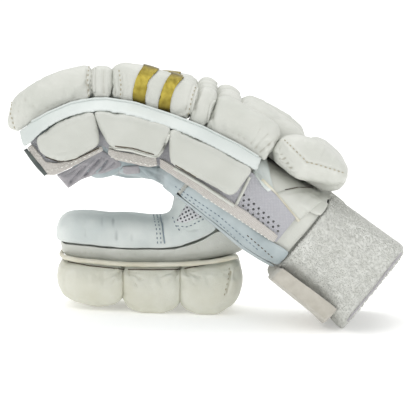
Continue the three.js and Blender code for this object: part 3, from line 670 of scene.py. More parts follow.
# Grooves, creases and gathers, traced in the side view: path, width and depth in millimetres
foamLines = {
    "tip_pad_little": [
        ([(-128, 71.9), (-129.4, 63.4), (-128.7, 54.1)], 0.7, 0.7),
        ([(-124.1, 75.9), (-125.4, 66), (-124.7, 55.4)], 1.0, 0.35),
        ([(-120.1, 78.5), (-121.1, 68.6), (-119.5, 58.1)], 1.1, 0.3),
        ([(-114.8, 81.8), (-115.5, 72.6), (-114.2, 62)], 1.4, 0.25),
        ([(-117.5, 59.4), (-105.6, 66), (-91.1, 71.9), (-76.6, 74.6)], 1.3, 0.35),
        ([(-79.9, 93.7), (-80.5, 84.5), (-79.2, 73.3)], 0.8, 0.8),
    ],
    "hinge_roll_little": [([(-68.6, 94.4), (-69, 84.5), (-68.6, 73.3)], 1.6, 0.9)],
    "mid_roll_little": [
        ([(-62.7, 85.8), (-61.4, 77.9), (-62, 72.6)], 0.7, 0.7),
        ([(-60.1, 88.4), (-58.7, 79.2), (-59.4, 71.9)], 0.7, 0.7),
        ([(-57.4, 91.1), (-56.1, 80.5), (-56.8, 71.3)], 0.7, 0.55),
        ([(-54.1, 91.1), (-53.1, 80.5), (-53.5, 71.3)], 0.8, 0.35),
        ([(-38.3, 93.7), (-40.3, 81.8), (-38.3, 68.6)], 0.8, 0.3),
        ([(-7.9, 85.8), (-12.5, 73.9), (-15.2, 61.4)], 0.8, 0.7),
    ],
    "knuckle_roll_little": [
        ([(-3.3, 81.8), (-7.3, 71.3), (-9.9, 60.1)], 0.8, 0.6),
        ([(4, 79.2), (0, 71.3), (-3.3, 60.7)], 0.9, 0.35),
    ],
    "back_roll_little": [
        ([(4.6, 71.3), (2.6, 64.7), (3.3, 55.4)], 0.8, 0.7),
        ([(30.4, 38.3), (35.6, 44.9), (40.9, 50.2)], 0.9, 0.6),
        ([(33, 35.6), (38.9, 40.9), (44.9, 45.5)], 0.9, 0.6),
        ([(27.7, 40.9), (31.7, 47.5), (35.6, 54.1)], 0.9, 0.4),
        ([(35.6, 34.3), (42.2, 38.9), (48.8, 42.9)], 0.8, 0.5),
        ([(9.2, 52.8), (21.1, 47.5), (31, 40.9)], 1.2, 0.35),
    ],
    "side_block_1": [([(-110.9, 38.3), (-103, 35.6), (-91.1, 37)], 1.0, 0.3)],
    "side_block_2": [([(-64.7, 40.9), (-48.8, 38.9), (-35, 35)], 0.8, 0.35)],
    "side_block_3": [([(-21.1, 29.7), (-2.6, 19.8), (14.5, 9.2)], 0.8, 0.35)],
    "cuff_roll": [
        ([(50.8, 44.6), (58.7, 37), (65.3, 30.4), (72.9, 29), (90.4, 23.1)], 4.5, -1.5),
        ([(65.3, 30.4), (61.4, 24.4), (58.1, 18.5)], 4.0, -1.0),
        ([(54.8, 33), (51.5, 29.7), (50.2, 26.4)], 6.0, 0.8),
        ([(75.9, 38.3), (83.8, 34.3)], 7.0, 0.7),
        ([(50.8, 44.6), (58.7, 37), (65.3, 30.4), (72.9, 29), (90.4, 23.1)], 0.7, 0.6),
        ([(43.6, 36.3), (46.9, 35), (49.5, 35.6)], 0.7, 0.5),
        ([(45.5, 32.3), (48.8, 31.7), (51.5, 33)], 0.7, 0.6),
        ([(47.5, 29.7), (50.8, 28.7), (53.5, 29.7)], 0.7, 0.6),
        ([(50.2, 26.4), (53.5, 25.7), (56.1, 26.7)], 0.7, 0.6),
        ([(53.5, 23.8), (56.8, 23.1), (59.4, 24.1)], 0.7, 0.5),
    ],
}
gatherSet = {"reach": 15, "count": 8, "width": 0.7, "depth": 0.5}
for name, centre, start, end in (
        ("thumb_pad_1", (-55.4, -39.6), 200, 250),
        ("thumb_pad_2", (-54.1, -39.6), 290, 345),
        ("thumb_pad_2", (-17.8, -38.9), 195, 250),
        ("thumb_pad_3", (-16.5, -38.9), 290, 350)):
    gathers = fan(centre, start, end, gatherSet["reach"], gatherSet["count"])
    foamLines.setdefault(name, [])
    foamLines[name] += [(line, gatherSet["width"], gatherSet["depth"]) for line in gathers]
foamLines["thumb_pad_1"] += [
    ([(-93.7, -39.6), (-95, -47.5), (-93.7, -55.4)], 0.9, 0.5),
    ([(-77.9, -40.3), (-79.2, -44.9), (-77.9, -50.2)], 1.4, 0.3),
    ([(-68.6, -40.9), (-68, -46.2), (-70, -52.8)], 1.2, 0.3),
]
foamLines["thumb_pad_2"] += [([(-37, -40.9), (-38.3, -47.5), (-35.6, -54.1)], 1.6, 0.25)]
foamLines["thumb_pad_3"] += [
    ([(15.2, -39.6), (14.5, -47.5), (11.9, -58.1)], 0.7, 0.9),
    ([(0, -39.6), (-1.3, -44.9), (0.7, -51.5)], 1.4, 0.25),
]
# The side bar's upper rim in the side view, from the fingertips to the cuff roll
barRim = [(-124.1, 52.1), (-105.6, 62.7), (-89.8, 69.3), (-76.6, 71.6), (-67.3, 72.1), (-54.8, 70.3),
          (-47.5, 69), (-23.4, 61.1), (-4, 53.6), (21.1, 40.9), (33, 33.7)]


def reachBar(obj, far, over):
    # draws the lower ends of the rolls down behind the side bar's rim
    co = points(obj)
    places = sidePlaces(co)
    rim = np.interp(places[:, 0], *np.array(barRim).T)
    near = np.clip(1 - (places[:, 1] - rim) / over, 0, 1)[:, None]
    setPoints(obj, co - np.array(viewUp) * near * far / 1000)


for node in ("tip_pad", "hinge_roll", "mid_roll", "knuckle_roll", "back_roll"):
    reachBar(foam[node + "_little"], 1.5, 9)
pull(foam["side_block_1"], (-112, 51), (0, -1.8), 8)
for number, lift in ((1, 0.5), (2, 1.0), (3, 0.8)):
    block = foam[f"side_block_{number}"]
    setPoints(block, points(block) + np.array(viewUp) * lift / 1000)
for node, lines in foamLines.items():
    foldLines(foam[node], lines)
floorLevel = cadBox[0][2] + 0.0002
for node, obj in foam.items():
    bumpy(obj, *foamSet["dents"], seed=len(node))
    bumpy(obj, *foamSet["puckers"], seed=len(node) + 3.0)
    co = points(obj)
    co[:, 2] = np.maximum(co[:, 2], floorLevel)
    setPoints(obj, co)
    markFolds(obj)
    leather = {"thumb_pad": padLeather, "side_block": shadedBlockLeather}.get(node[:-2], whiteLeather)
    finishPiece(obj, node, leather)
print("foam pieces done")

# Side bar: a wedge of foam with a rounded rim
barSet = {"voxel": 0.0013, "evenings": 6, "dents": (0.02, 0.0003)}
bar = remeshed("side_bar", "side_bar_foam", barSet["voxel"])
relax(bar, barSet["evenings"])
pull(bar, (-117.5, 45), (-0.8, -3.5), 9)  # its low end reaches down over the first block
bumpy(bar, *barSet["dents"])
markFolds(bar)
finishPiece(bar, "side_bar", barLeather)

# Piping between gusset and pads: a soft round edge of cream leather
tipSet = {"draw": 0.0036, "over": 0.030}  # how far the thumb's end is drawn back, and over what length
piping = rounded("thumb_piping", "thumb_piping_roll", 2)


def drawTip(obj):
    # draws the end below the thumb's tip back towards the wrist
    co = points(obj)
    co[:, 0] += tipSet["draw"] * np.clip(1 - (co[:, 0] - co[:, 0].min()) / tipSet["over"], 0, 1) ** 1.5
    setPoints(obj, co)


drawTip(piping)
bumpy(piping, 0.005, 0.0003)
markFolds(piping)
finishPiece(piping, "thumb_piping", creamLeather)

# Leather and cloth walls; cut: flat width and length in metres. It was first guessed from the solid, then
# altered to agree with the area that this script prints, so the printed area is no test of it
sheetSet = {
    "finger_stall_little": {"levels": 3, "cut": (0.088, 0.092), "finish": "palm", "folds": 0.0005},
    "finger_stall_ring": {"levels": 3, "cut": (0.104, 0.076), "finish": "palm", "folds": 0.0007},
    "finger_stall_middle": {"levels": 3, "cut": (0.104, 0.078), "finish": "palm", "folds": 0.0007},
    "finger_stall_index": {"levels": 3, "cut": (0.104, 0.077), "finish": "palm", "folds": 0.0007},
    "hand_shell": {"levels": 2, "cut": (0.250, 0.093), "finish": "white", "folds": 0.0004},
    "palm_leather": {"levels": 2, "cut": (0.084, 0.086), "finish": "palm", "folds": 0.0004},
    "palm_strip": {"levels": 3, "cut": (0.019, 0.076), "finish": "palm", "folds": 0.0002},
    "thumb_stall": {"levels": 3, "cut": (0.067, 0.102), "finish": "thumb", "folds": 0.0006},
    "thumb_gusset": {"levels": 3, "cut": (0.044, 0.122), "finish": "white", "folds": 0.0005},
    "cuff_flap": {"levels": 3, "cut": (0.024, 0.014), "finish": "white", "folds": 0.0002},
    "strap_tab": {"levels": 3, "cut": (0.012, 0.0105), "finish": "white", "folds": 0.0001},
    "wristband": {"levels": 3, "cut": (0.270, 0.056), "finish": "terry", "folds": 0.0002},
    "wrist_strap": {"levels": 3, "cut": (0.075, 0.050), "finish": "lining", "folds": 0.0004},
}
finishes = {"palm": (palmLeather, "palm_leather"), "thumb": (litThumbLeather, "palm_leather"),
            "white": (whiteLeather, "white_leather"),
            "terry": (terryCotton, "towelling"), "lining": (liningCotton, "towelling")}
sheetLines = {
    "thumb_stall": [
        ([(-62.7, -5.3), (-61.4, -14.5), (-60.1, -22.4)], 1.0, 0.7),
        ([(-71.3, -4), (-69.3, -13.2), (-70.6, -21.1)], 1.4, 0.35),
        ([(-80.5, -2.6), (-81.8, -11.9), (-79.9, -21.1)], 1.4, 0.3),
        ([(-50.2, -5.3), (-48.8, -14.5), (-50.8, -23.1)], 1.2, 0.3),
        ([(-31.5, -4.2), (-29.7, -14.5), (-28.6, -23.8)], 0.8, 0.9),
        ([(-21.1, -11.9), (-11.9, -15.8), (-1.3, -13.2)], 1.0, 0.4),
    ],
    "thumb_gusset": [
        ([(-81.8, -25.1), (-80.5, -28.4), (-81.2, -31.7)], 0.9, 0.5),
        ([(-70.6, -25.7), (-71.3, -30.4), (-69.3, -34.3)], 0.9, 0.5),
        ([(-59.4, -27.1), (-58.1, -31), (-59.4, -35)], 0.9, 0.6),
        ([(-47.5, -26.4), (-48.2, -31), (-46.2, -34.3)], 0.9, 0.5),
        ([(-34.3, -25.7), (-33, -30.4), (-34.3, -34.3)], 0.9, 0.5),
        ([(-21.8, -25.1), (-22.4, -30.4), (-20.5, -34.3)], 0.9, 0.5),
        ([(-7.9, -21.1), (-6.6, -27.7), (-7.9, -33)], 0.9, 0.6),
        ([(4, -15.8), (6.6, -23.8), (5.3, -31.7)], 1.0, 0.5),
    ],
    "finger_stall_ring": [
        ([(-89.8, 23.8), (-84.5, 20.5), (-79.2, 23.8)], 1.0, 0.8),
        ([(-93.7, 23.8), (-89.1, 17.2), (-87.1, 14.5)], 1.0, 0.7),
        ([(-76.6, 31.7), (-71.3, 27.7), (-64.7, 28.4)], 1.2, 0.6),
    ],
    "finger_stall_little": [([(-115.5, 33), (-110.9, 27.7), (-107.6, 22.4)], 0.8, 0.7)],
}
strapSet = {"away": (-0.66, -0.75), "thicker": 0.0030, "closer": 0.0048, "evenings": 30}
gussetSet = {"fullness": 0.4, "tuck": 0.0012, "stations": 22}


def fillGusset(cloth):
    # the gusset's sides stand straight down and are tucked in behind the piping
    co = points(cloth)
    piped = points(pieces["thumb_piping"])
    middle = (co[:, 1].max() + co[:, 1].min()) / 2
    stations = np.linspace(co[:, 0].min(), co[:, 0].max(), gussetSet["stations"])
    half = np.array([np.abs(co[np.abs(co[:, 0] - x) < 0.006, 1] - middle).max() for x in stations])
    low = np.array([co[np.abs(co[:, 0] - x) < 0.005, 2].min() for x in stations])
    high = np.array([co[np.abs(co[:, 0] - x) < 0.005, 2].max() for x in stations])
    near = piped[piped[:, 1] < middle]
    seam = np.array([near[np.argsort(np.abs(near[:, 0] - x))[:30], 2].mean() for x in stations])
    wide = np.interp(co[:, 0], stations, half)
    share = np.abs(co[:, 1] - middle) / wide
    co[:, 1] = middle + np.sign(co[:, 1] - middle) * wide * share ** gussetSet["fullness"]
    lowHere, highHere = np.interp(co[:, 0], stations, low), np.interp(co[:, 0], stations, high)
    down = np.clip((highHere - co[:, 2]) / (highHere - lowHere), 0, 1)
    co[:, 2] -= down * np.maximum(0, lowHere - np.interp(co[:, 0], stations, seam) + gussetSet["tuck"])
    setPoints(cloth, co)
    drawTip(cloth)
    pull(cloth, (5.3, -18.5), (0, 2.6), 8)


for node, made in sheetSet.items():
    if node == "wristband":
        cloth = remeshed(node, node + "_skin", 0.0014)
        relax(cloth, 4)
    else:
        cloth = rounded(node, node + "_skin", made["levels"])
    if node == "thumb_gusset":
        fillGusset(cloth)
    if node == "thumb_stall":
        pull(cloth, (-86, -4), (1.3, 1.6), 20)
        pull(cloth, (-48, -4), (0, 1.2), 16)
    if node == "wrist_strap":
        # a soft, thick end that lies against the band
        away = strapSet["away"][0] * np.array(viewRight) + strapSet["away"][1] * np.array(viewUp)
        outer = np.clip(normals(cloth) @ away * 2, 0, 1)[:, None]
        move = strapSet["thicker"] * outer - strapSet["closer"] * (1 - outer)
        setPoints(cloth, points(cloth) + away * move)
        relax(cloth, strapSet["evenings"])
    if node == "finger_stall_ring":
        pull(cloth, (-91.1, 19.8), (-1.6, -4.4), 7)
    if node in sheetLines:
        foldLines(cloth, sheetLines[node])
    bumpy(cloth, 0.012, made["folds"], seed=len(node))
    bumpy(cloth, 0.005, made["folds"] * 0.4, seed=len(node) + 5.0)
    markFolds(cloth)
    material, slotName = finishes[made["finish"]]
    finishPiece(cloth, node, material)
    area = sum(face.area for face in cloth.data.polygons) / 2
    print("  %s: %.4f m2 against a cut of %.4f" % (node, area, made["cut"][0] * made["cut"][1]))

# Pierced net along the side: cut finer and given a slack surface; its holes are those of the solid
# its cut, too, was altered to agree with the printed area
netSet = {"longest": 0.004, "waves": 90, "slack": 0.0004, "cut": (0.026, 0.170)}
net = finer("mesh_panel", "side_net", netSet["longest"])
co = points(net)
co[:, 1] += np.array([noise.noise(Vector(p) * netSet["waves"]) for p in co]) * netSet["slack"]
setPoints(net, co)
markFolds(net)
finishPiece(net, "mesh_panel", netCloth, smooth=False)
print("  net: %.4f m2" % (sum(face.area for face in net.data.polygons) / 2))

# Woven binding: flat tape with ribs that follow its length
bindingSet = {"voxel": 0.0007, "evenings": 3, "dents": (0.004, 0.0003)}
# These cuts are given a flat side of 1 cm or more, so they are wider and shorter than the tapes; only the
# areas agree
bindingCuts = {
    "edge_binding_1": (0.0102, 0.040), "edge_binding_2": (0.0102, 0.026), "edge_binding_3": (0.0102, 0.075)}
for node, cut in bindingCuts.items():
    tape = remeshed(node, node + "_tape", bindingSet["voxel"])
    relax(tape, bindingSet["evenings"])
    co = points(tape)
    places = sidePlaces(co)
    middle = places.mean(0)
    alongTape = np.linalg.svd(places - middle, full_matrices=False)[2][0]
    run = (places - middle) @ alongTape
    side = (places - middle) @ np.array([-alongTape[1], alongTape[0]])
    strip = tape.data.attributes.new("strip", "FLOAT_VECTOR", "POINT")
    strip.data.foreach_set("vector", (np.stack([run, side, run * 0], 1) / 1000).astype(np.float32).ravel())
    bumpy(tape, *bindingSet["dents"])
    markFolds(tape)
    finishPiece(tape, node, tapeCloth)
    print("  %s: %.5f m2" % (node, sum(face.area for face in tape.data.polygons) / 2))

# Gold stripes: satin laid over the swollen rolls, their edges curved as the roll pulls them
stripeSet = {
    "longest": 0.0016,
    "lift": 0.00025,
    "cloth": 0.0005,
    "outerFrom": 0.0006,    # what is farther than this from the solid roll is the satin's outer face
    "bulge": 0.0026,
    "cut": (0.0102, 0.066),    # given a flat side of 1 cm or more, and the satin is a little narrower
    "taper": [(0, 0.8), (0.6, 0.8), (0.85, 1.0), (1, 1.12)],  # height on the roll, and width there
    "brightAt": 0.56,       # height that catches the light
    "fade": 2.6,
    "bright": 0.28,
}
for finger in fingerNames:
    rollTree = treeOf(pieces[f"mid_roll_{finger}"])
    solidTree = treeOf(cadNodes[f"mid_roll_{finger}"])
    for letter in "ab":
        node = f"gold_stripe_{letter}_{finger}"
        stripe = finer(node, node + "_satin", stripeSet["longest"])
        co = points(stripe)
        top, low = co[:, 2].max(), co[:, 2].min()
        height = (co[:, 2] - low) / (top - low)
        outside = np.array([solidTree.find_nearest(Vector(p))[3] > stripeSet["outerFrom"] for p in co])
        levels = np.linspace(0, 1, 12)
        left = np.array([co[np.abs(height - level) < 0.08, 0].min() for level in levels])
        edge = np.interp(height, levels, left)
        co[:, 0] = edge + (co[:, 0] - edge) * np.interp(height, *np.array(stripeSet["taper"]).T)
        co[:, 0] -= stripeSet["bulge"] * 4 * height * (1 - height)
        for i, p in enumerate(co):
            spot, out = rollTree.find_nearest(Vector(p))[:2]
            co[i] = spot + out * (stripeSet["lift"] + (stripeSet["cloth"] if outside[i] else 0))
        setPoints(stripe, co)
        # painted reflection on the satin: darker away from the height that catches the light, less on the
        # far fingers
        dim = np.abs(height - stripeSet["brightAt"]) * stripeSet["fade"] - stripeSet["bright"]
        reflectionDark = (0.9 if finger == "little" else 0.4) * np.clip(dim, 0, 1)
        shine = stripe.data.attributes.new("reflectionDark", "FLOAT", "POINT")
        shine.data.foreach_set("value", reflectionDark.astype(np.float32))
        finishPiece(stripe, node, goldSatin)
        if finger == "little":
            print("  %s: %.5f m2" % (node, sum(face.area for face in stripe.data.polygons) / 2))
print("walls and stripes done")

# Pieces laid on the walls: leather flaps, a pierced patch and the loose ends of cloth at the fingers
laySet = {
    "sunk": 0.0006,           # how far the back of a patch is sunk into what it lies on
    "smallestCut": 0.0101,    # the least flat side that a cut is given
}


def layOn(name, top, bottom, under, thick, puff, material, lines=(), columns=34, rows=16,
          evenings=3, forward=0):
    # top and bottom: its edges in the side view; under: what it lies on; forward: rounds of coming nearer
    def walk(path, share):
        path = np.array(path, float)
        gone = np.concatenate([[0], np.cumsum(np.linalg.norm(np.diff(path, axis=0), axis=1))])
        return np.array([np.interp(share * gone[-1], gone, path[:, i]) for i in range(2)])

    trees = [treeOf(pieces[node]) for node in under]
    depth = np.full((rows + 1, columns + 1), np.nan)
    rays = np.zeros((rows + 1, columns + 1, 3))
    for i in range(rows + 1):
        for j in range(columns + 1):
            a, b = walk(top, j / columns), walk(bottom, j / columns)
            place = a + (b - a) * i / rows
            aim = target + viewRight * (place[0] / 1000) + viewUp * (place[1] / 1000)
            rays[i, j] = (aim - eye).normalized()
            hit = onSide(place, trees)
            if hit:
                depth[i, j] = (hit[0] - eye).length
    while np.isnan(depth).any():
        # beyond the edge of what it lies on, it carries on at the same depth
        padded = np.pad(depth, 1, constant_values=np.nan)
        around = np.stack([padded[:-2, 1:-1], padded[2:, 1:-1], padded[1:-1, :-2], padded[1:-1, 2:]])
        known = ~np.isnan(around)
        mean = np.where(known, around, 0).sum(0) / np.maximum(known.sum(0), 1)
        fill = np.isnan(depth) & known.any(0)
        depth[fill] = mean[fill]
    for _ in range(forward):
        edged = np.pad(depth, 1, mode="edge")
        depth = np.minimum.reduce([depth, edged[:-2, 1:-1], edged[2:, 1:-1], edged[1:-1, :-2],
                                   edged[1:-1, 2:]])
    for _ in range(evenings):
        edged = np.pad(depth, 1, mode="edge")
        depth = (edged[:-2, 1:-1] + edged[2:, 1:-1] + edged[1:-1, :-2] + edged[1:-1, 2:]) / 4
    down = np.linspace(-1, 1, rows + 1)[:, None]
    across = np.linspace(-1, 1, columns + 1)[None, :]
    crown = (1 - down**4) * (1 - across**6)
    edge = np.clip(8 * np.minimum(1 - np.abs(down), 1 - np.abs(across)), 0.3, 1)
    front = np.array(eye) + rays * (depth - thick * edge - puff * crown)[..., None]
    back = np.array(eye) + rays * (depth + laySet["sunk"])[..., None]
    count = (rows + 1) * (columns + 1)
    index = np.arange(count).reshape(rows + 1, columns + 1)
    faces = []
    for i in range(rows):
        for j in range(columns):
            quad = [index[i, j], index[i, j + 1], index[i + 1, j + 1], index[i + 1, j]]
            faces.append([int(k) for k in quad])
            faces.append([int(k) + count for k in quad[::-1]])
    rim = [*index[0, :], *index[1:, -1], *index[-1, -2::-1], *index[-2:0:-1, 0]]
    faces += [[int(b), int(a), int(a) + count, int(b) + count] for a, b in zip(rim, rim[1:] + rim[:1])]
    mesh = bpy.data.meshes.new(name)
    mesh.from_pydata(np.concatenate([front.reshape(-1, 3), back.reshape(-1, 3)]).tolist(), [], faces)
    shape = bmesh.new()
    shape.from_mesh(mesh)
    bmesh.ops.recalc_face_normals(shape, faces=shape.faces)
    shape.to_mesh(mesh)
    shape.free()
    patch = linkMesh(name, mesh)
    foldLines(patch, lines)
    bumpy(patch, 0.006, 0.0003, seed=len(name))
    markFolds(patch)
    finishPiece(patch, None, material)
    pieces[name] = patch
    length = np.linalg.norm(np.diff(front, axis=1), axis=2).sum(1).mean()
    width = np.linalg.norm(np.diff(front, axis=0), axis=2).sum(0).mean()
    width, length = max(width, laySet["smallestCut"]), max(length, laySet["smallestCut"])
    # the cut is measured from the laid patch itself, so a test of the patch's area against it proves nothing
    area = sum(face.area for face in patch.data.polygons) / 2
    area = min(max(area, 0.3 * width * length), width * length)
    return patch


layOn("cuff_under_flap", [(41.6, 9.2), (50.8, 11.9), (60.7, 13.5), (71.3, 14.5), (81.8, 12.5)],
      [(60.1, -8.9), (64.7, -4.6), (70, 0), (74.6, 3.6), (81.2, 6.6)], ("hand_shell", "cuff_flap"),
      0.0013, 0.0012, whiteLeather,
      [([(49.5, 9.9), (58.1, 11.2), (68.6, 12.2)], 0.9, 0.9),
       ([(60.7, 2), (67.3, 7.3), (75.2, 9.9)], 1.6, 0.4)])
layOn("side_tab", [(29.4, 23.8), (33, 30.4), (38.3, 33.7)], [(35.6, 14.5), (39.6, 10.6), (43.6, 12.5)],
      ("hand_shell", "mesh_panel"), 0.0010, 0.0008, barLeather,
      [([(35.6, 27.7), (38.3, 19.8), (42.2, 12.5)], 1.2, 0.5),
       ([(32.3, 23.8), (35.6, 17.2), (40.3, 11.9)], 1.2, 0.3)],
      forward=3, evenings=4)
layOn("thumb_pierced_patch", [(-13.9, 3.3), (-8.6, 1.3), (-2.6, -4)],
      [(-21.1, -8.9), (-14.5, -9.9), (-2.6, -5.3)],
      ("thumb_stall",), 0.0008, 0.0002, piercedNet, columns=24)
layOn("ring_finger_cloth",
      [(-99.7, 22), (-87.8, 27.5), (-75.4, 35.5), (-70.2, 39), (-63.9, 34.7), (-57.4, 29.6)],
      [(-99.2, 21), (-92.2, 13.2), (-84.2, 18.5), (-76.3, 21.6), (-67.5, 23.4), (-57.7, 27.4)],
      ("finger_stall_ring", "finger_stall_little"), 0.0010, 0.0006, lilacCloth,
      [([(-91.8, 15.2), (-86.5, 22.4), (-79.2, 28.4)], 1.1, 1.5),
       ([(-86.5, 18.5), (-81.2, 25.1), (-73.9, 32.3)], 1.3, -1.3),
       ([(-82.5, 19.8), (-77.2, 26.4), (-70.6, 33)], 1.1, 1.6),
       ([(-78.5, 21.5), (-73.3, 27.1), (-68, 33)], 1.2, -1.0),
       ([(-74.6, 22.4), (-69.3, 27.1), (-65.3, 32.3)], 1.1, 1.5),
       ([(-68.6, 23.8), (-64.7, 27.1), (-60.7, 30.4)], 1.0, 1.0),
       ([(-95.7, 20.5), (-89.1, 24.4), (-82.5, 29)], 1.0, 0.5)], columns=64, rows=28, evenings=8)
layOn("middle_finger_cloth", [(-59.3, 24.2), (-56, 27.6), (-45, 28.4)],
      [(-58.9, 22.5), (-52.4, 22.2), (-44.9, 22.9)],
      ("finger_stall_ring", "finger_stall_middle"), 0.0010, 0.0004, lilacCloth,
      [([(-58.1, 23.1), (-56.1, 25.7)], 0.9, 1.4)], columns=28, rows=12)
# a dark sheet in the mouth of the little finger's stall: painted shadow in the gap
layOn("little_stall_mouth", [(-121.8, 38.3), (-114.8, 28.7), (-108, 20.9)],
      [(-119.5, 39.6), (-112.3, 30.4), (-105.6, 22.4)], ("finger_stall_little", "edge_binding_1"),
      0.0007, 0.0002, mouthShadowCloth, columns=24, rows=6)
layOn("palm_corner", [(-46.9, 27.7), (-38.3, 27.7), (-26.4, 25.7), (-13.2, 18.5)],
      [(-38.3, 19.5), (-31.7, 16.2), (-27.1, 13.2), (-22.4, 7.3)],
      ("palm_leather", "hand_shell", "finger_stall_middle", "finger_stall_ring"), 0.0010, 0.0004,
      palmLeather,
      [([(-38.3, 23.8), (-29, 17.2), (-22.4, 10.6)], 1.0, 0.4),
       ([(-42, 26), (-31, 21), (-20, 13)], 1.0, 0.5)],
      columns=30, rows=14, evenings=5, forward=5)

# Geometry Nodes make the towelling loops and the stitches
def newTree(name, inputs):
    tree = bpy.data.node_groups.new(name, "GeometryNodeTree")
    tree.is_modifier = True
    tree.interface.new_socket(name="Geometry", in_out="OUTPUT", socket_type="NodeSocketGeometry")
    keys = {}
    for label, kind in inputs.items():
        keys[label] = tree.interface.new_socket(name=label, in_out="INPUT", socket_type=kind).identifier
    start = tree.nodes.new("NodeGroupInput")
    return tree, start, keys


def closeTree(tree, geometry):
    end = tree.nodes.new("NodeGroupOutput")
    tree.links.new(geometry, end.inputs[0])


def runTree(obj, tree, keys, values):
    modifier = obj.modifiers.new(tree.name, "NODES")
    modifier.node_group = tree
    for label, value in values.items():
        modifier[keys[label]] = value
    return bake(obj)


def loopsTree():
    tree, start, keys = newTree("terry_loops", {
        "Geometry": "NodeSocketGeometry", "Spacing": "NodeSocketFloat", "Loop Size": "NodeSocketFloat",
        "Yarn": "NodeSocketFloat", "Seed": "NodeSocketInt", "Material": "NodeSocketMaterial"})
    spots = addNode(tree, "GeometryNodeDistributePointsOnFaces", {"Density Max": 900000.0},
                    {"Mesh": start.outputs["Geometry"], "Distance Min": start.outputs["Spacing"],
                     "Seed": start.outputs["Seed"]}, distribute_method="POISSON")
    arc = addNode(tree, "GeometryNodeCurveArc",
                  {"Resolution": 4, "Radius": 0.5, "Start Angle": math.radians(-35),
                   "Sweep Angle": math.radians(250)})
    stood = addNode(tree, "GeometryNodeTransform", {"Rotation": (math.radians(90), 0, 0),
                    "Translation": (0, 0, 0.25)}, {"Geometry": arc.outputs["Curve"]})
    ratio = addNode(tree, "ShaderNodeMath", links={0: start.outputs["Yarn"], 1: start.outputs["Loop Size"]},
                    operation="DIVIDE")
    yarn = addNode(tree, "GeometryNodeCurvePrimitiveCircle", {"Resolution": 3}, {"Radius": ratio.outputs[0]})
    loop = addNode(tree, "GeometryNodeCurveToMesh", {"Fill Caps": True},
                   {"Curve": stood.outputs["Geometry"], "Profile Curve": yarn.outputs["Curve"]})
    spin = addNode(tree, "FunctionNodeRandomValue", {2: 0.0, 3: 6.283}, {"Seed": start.outputs["Seed"]},
                   data_type="FLOAT")
    lean = addNode(tree, "FunctionNodeRandomValue", {2: -0.35, 3: 0.35}, {"Seed": start.outputs["Seed"]},
                   data_type="FLOAT")
    turned = addNode(tree, "ShaderNodeCombineXYZ", links={"X": lean.outputs[1], "Z": spin.outputs[1]})
    turn = addNode(tree, "FunctionNodeRotateRotation",
                   links={"Rotation": spots.outputs["Rotation"], "Rotate By": turned.outputs[0]},
                   rotation_space="LOCAL")
    grow = addNode(tree, "FunctionNodeRandomValue", {2: 0.9, 3: 1.15}, data_type="FLOAT")
    size = addNode(tree, "ShaderNodeMath", links={0: grow.outputs[1], 1: start.outputs["Loop Size"]},
                   operation="MULTIPLY")
    placed = addNode(tree, "GeometryNodeInstanceOnPoints",
                     links={"Points": spots.outputs["Points"], "Instance": loop.outputs["Mesh"],
                            "Rotation": turn.outputs[0], "Scale": size.outputs[0]})
    solid = addNode(tree, "GeometryNodeRealizeInstances", links={"Geometry": placed.outputs["Instances"]})
    done = addNode(tree, "GeometryNodeSetMaterial",
                   links={"Geometry": solid.outputs["Geometry"], "Material": start.outputs["Material"]})
    closeTree(tree, done.outputs["Geometry"])
    return tree, keys


def stitchTree():
    tree, start, keys = newTree("seam_stitches", {
        "Geometry": "NodeSocketGeometry", "Pitch": "NodeSocketFloat", "Length": "NodeSocketFloat",
        "Thread": "NodeSocketFloat", "Material": "NodeSocketMaterial"})
    seam = addNode(tree, "GeometryNodeMeshToCurve", links={"Mesh": start.outputs["Geometry"]})
    spots = addNode(tree, "GeometryNodeResampleCurve",
                    links={"Curve": seam.outputs["Curve"], "Length": start.outputs["Pitch"]}, mode="LENGTH")
    grain = addNode(tree, "GeometryNodeMeshUVSphere", {"Segments": 6, "Rings": 5, "Radius": 0.5})
    run = addNode(tree, "GeometryNodeInputTangent")
    turn = addNode(tree, "FunctionNodeAlignRotationToVector", links={"Vector": run.outputs["Tangent"]},
                   axis="Z")
    shape = addNode(tree, "ShaderNodeCombineXYZ",
                    links={"X": start.outputs["Thread"], "Y": start.outputs["Thread"],
                           "Z": start.outputs["Length"]})
    placed = addNode(tree, "GeometryNodeInstanceOnPoints",
                     links={"Points": spots.outputs["Curve"], "Instance": grain.outputs["Mesh"],
                            "Rotation": turn.outputs["Rotation"], "Scale": shape.outputs[0]})
    solid = addNode(tree, "GeometryNodeRealizeInstances", links={"Geometry": placed.outputs["Instances"]})
    done = addNode(tree, "GeometryNodeSetMaterial",
                   links={"Geometry": solid.outputs["Geometry"], "Material": start.outputs["Material"]})
    closeTree(tree, done.outputs["Geometry"])
    return tree, keys


def surfacePart(obj, name, keep):
    # a copy with only the faces whose middle and normal pass the test
    mesh = obj.data.copy()
    shape = bmesh.new()
    shape.from_mesh(mesh)
    gone = [face for face in shape.faces if not keep(face.calc_center_median(), face.normal)]
    bmesh.ops.delete(shape, geom=gone, context="FACES")
    shape.to_mesh(mesh)
    shape.free()
    return linkMesh(name, mesh)


terrySet = {"spacing": 0.00072, "loop": 0.00075, "yarn": 0.00027, "insideSpacing": 0.0020}
bandLow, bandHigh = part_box("wristband")
bandMiddle = (bandLow + bandHigh) / 2
loops, loopKeys = loopsTree()


def outward(spot, normal):
    # away from the band's slanting axis
    slope = Vector((0.6, 0, -0.8))
    off = spot - bandMiddle
    radial = off - slope * off.dot(slope)
    return normal.dot(radial.normalized())


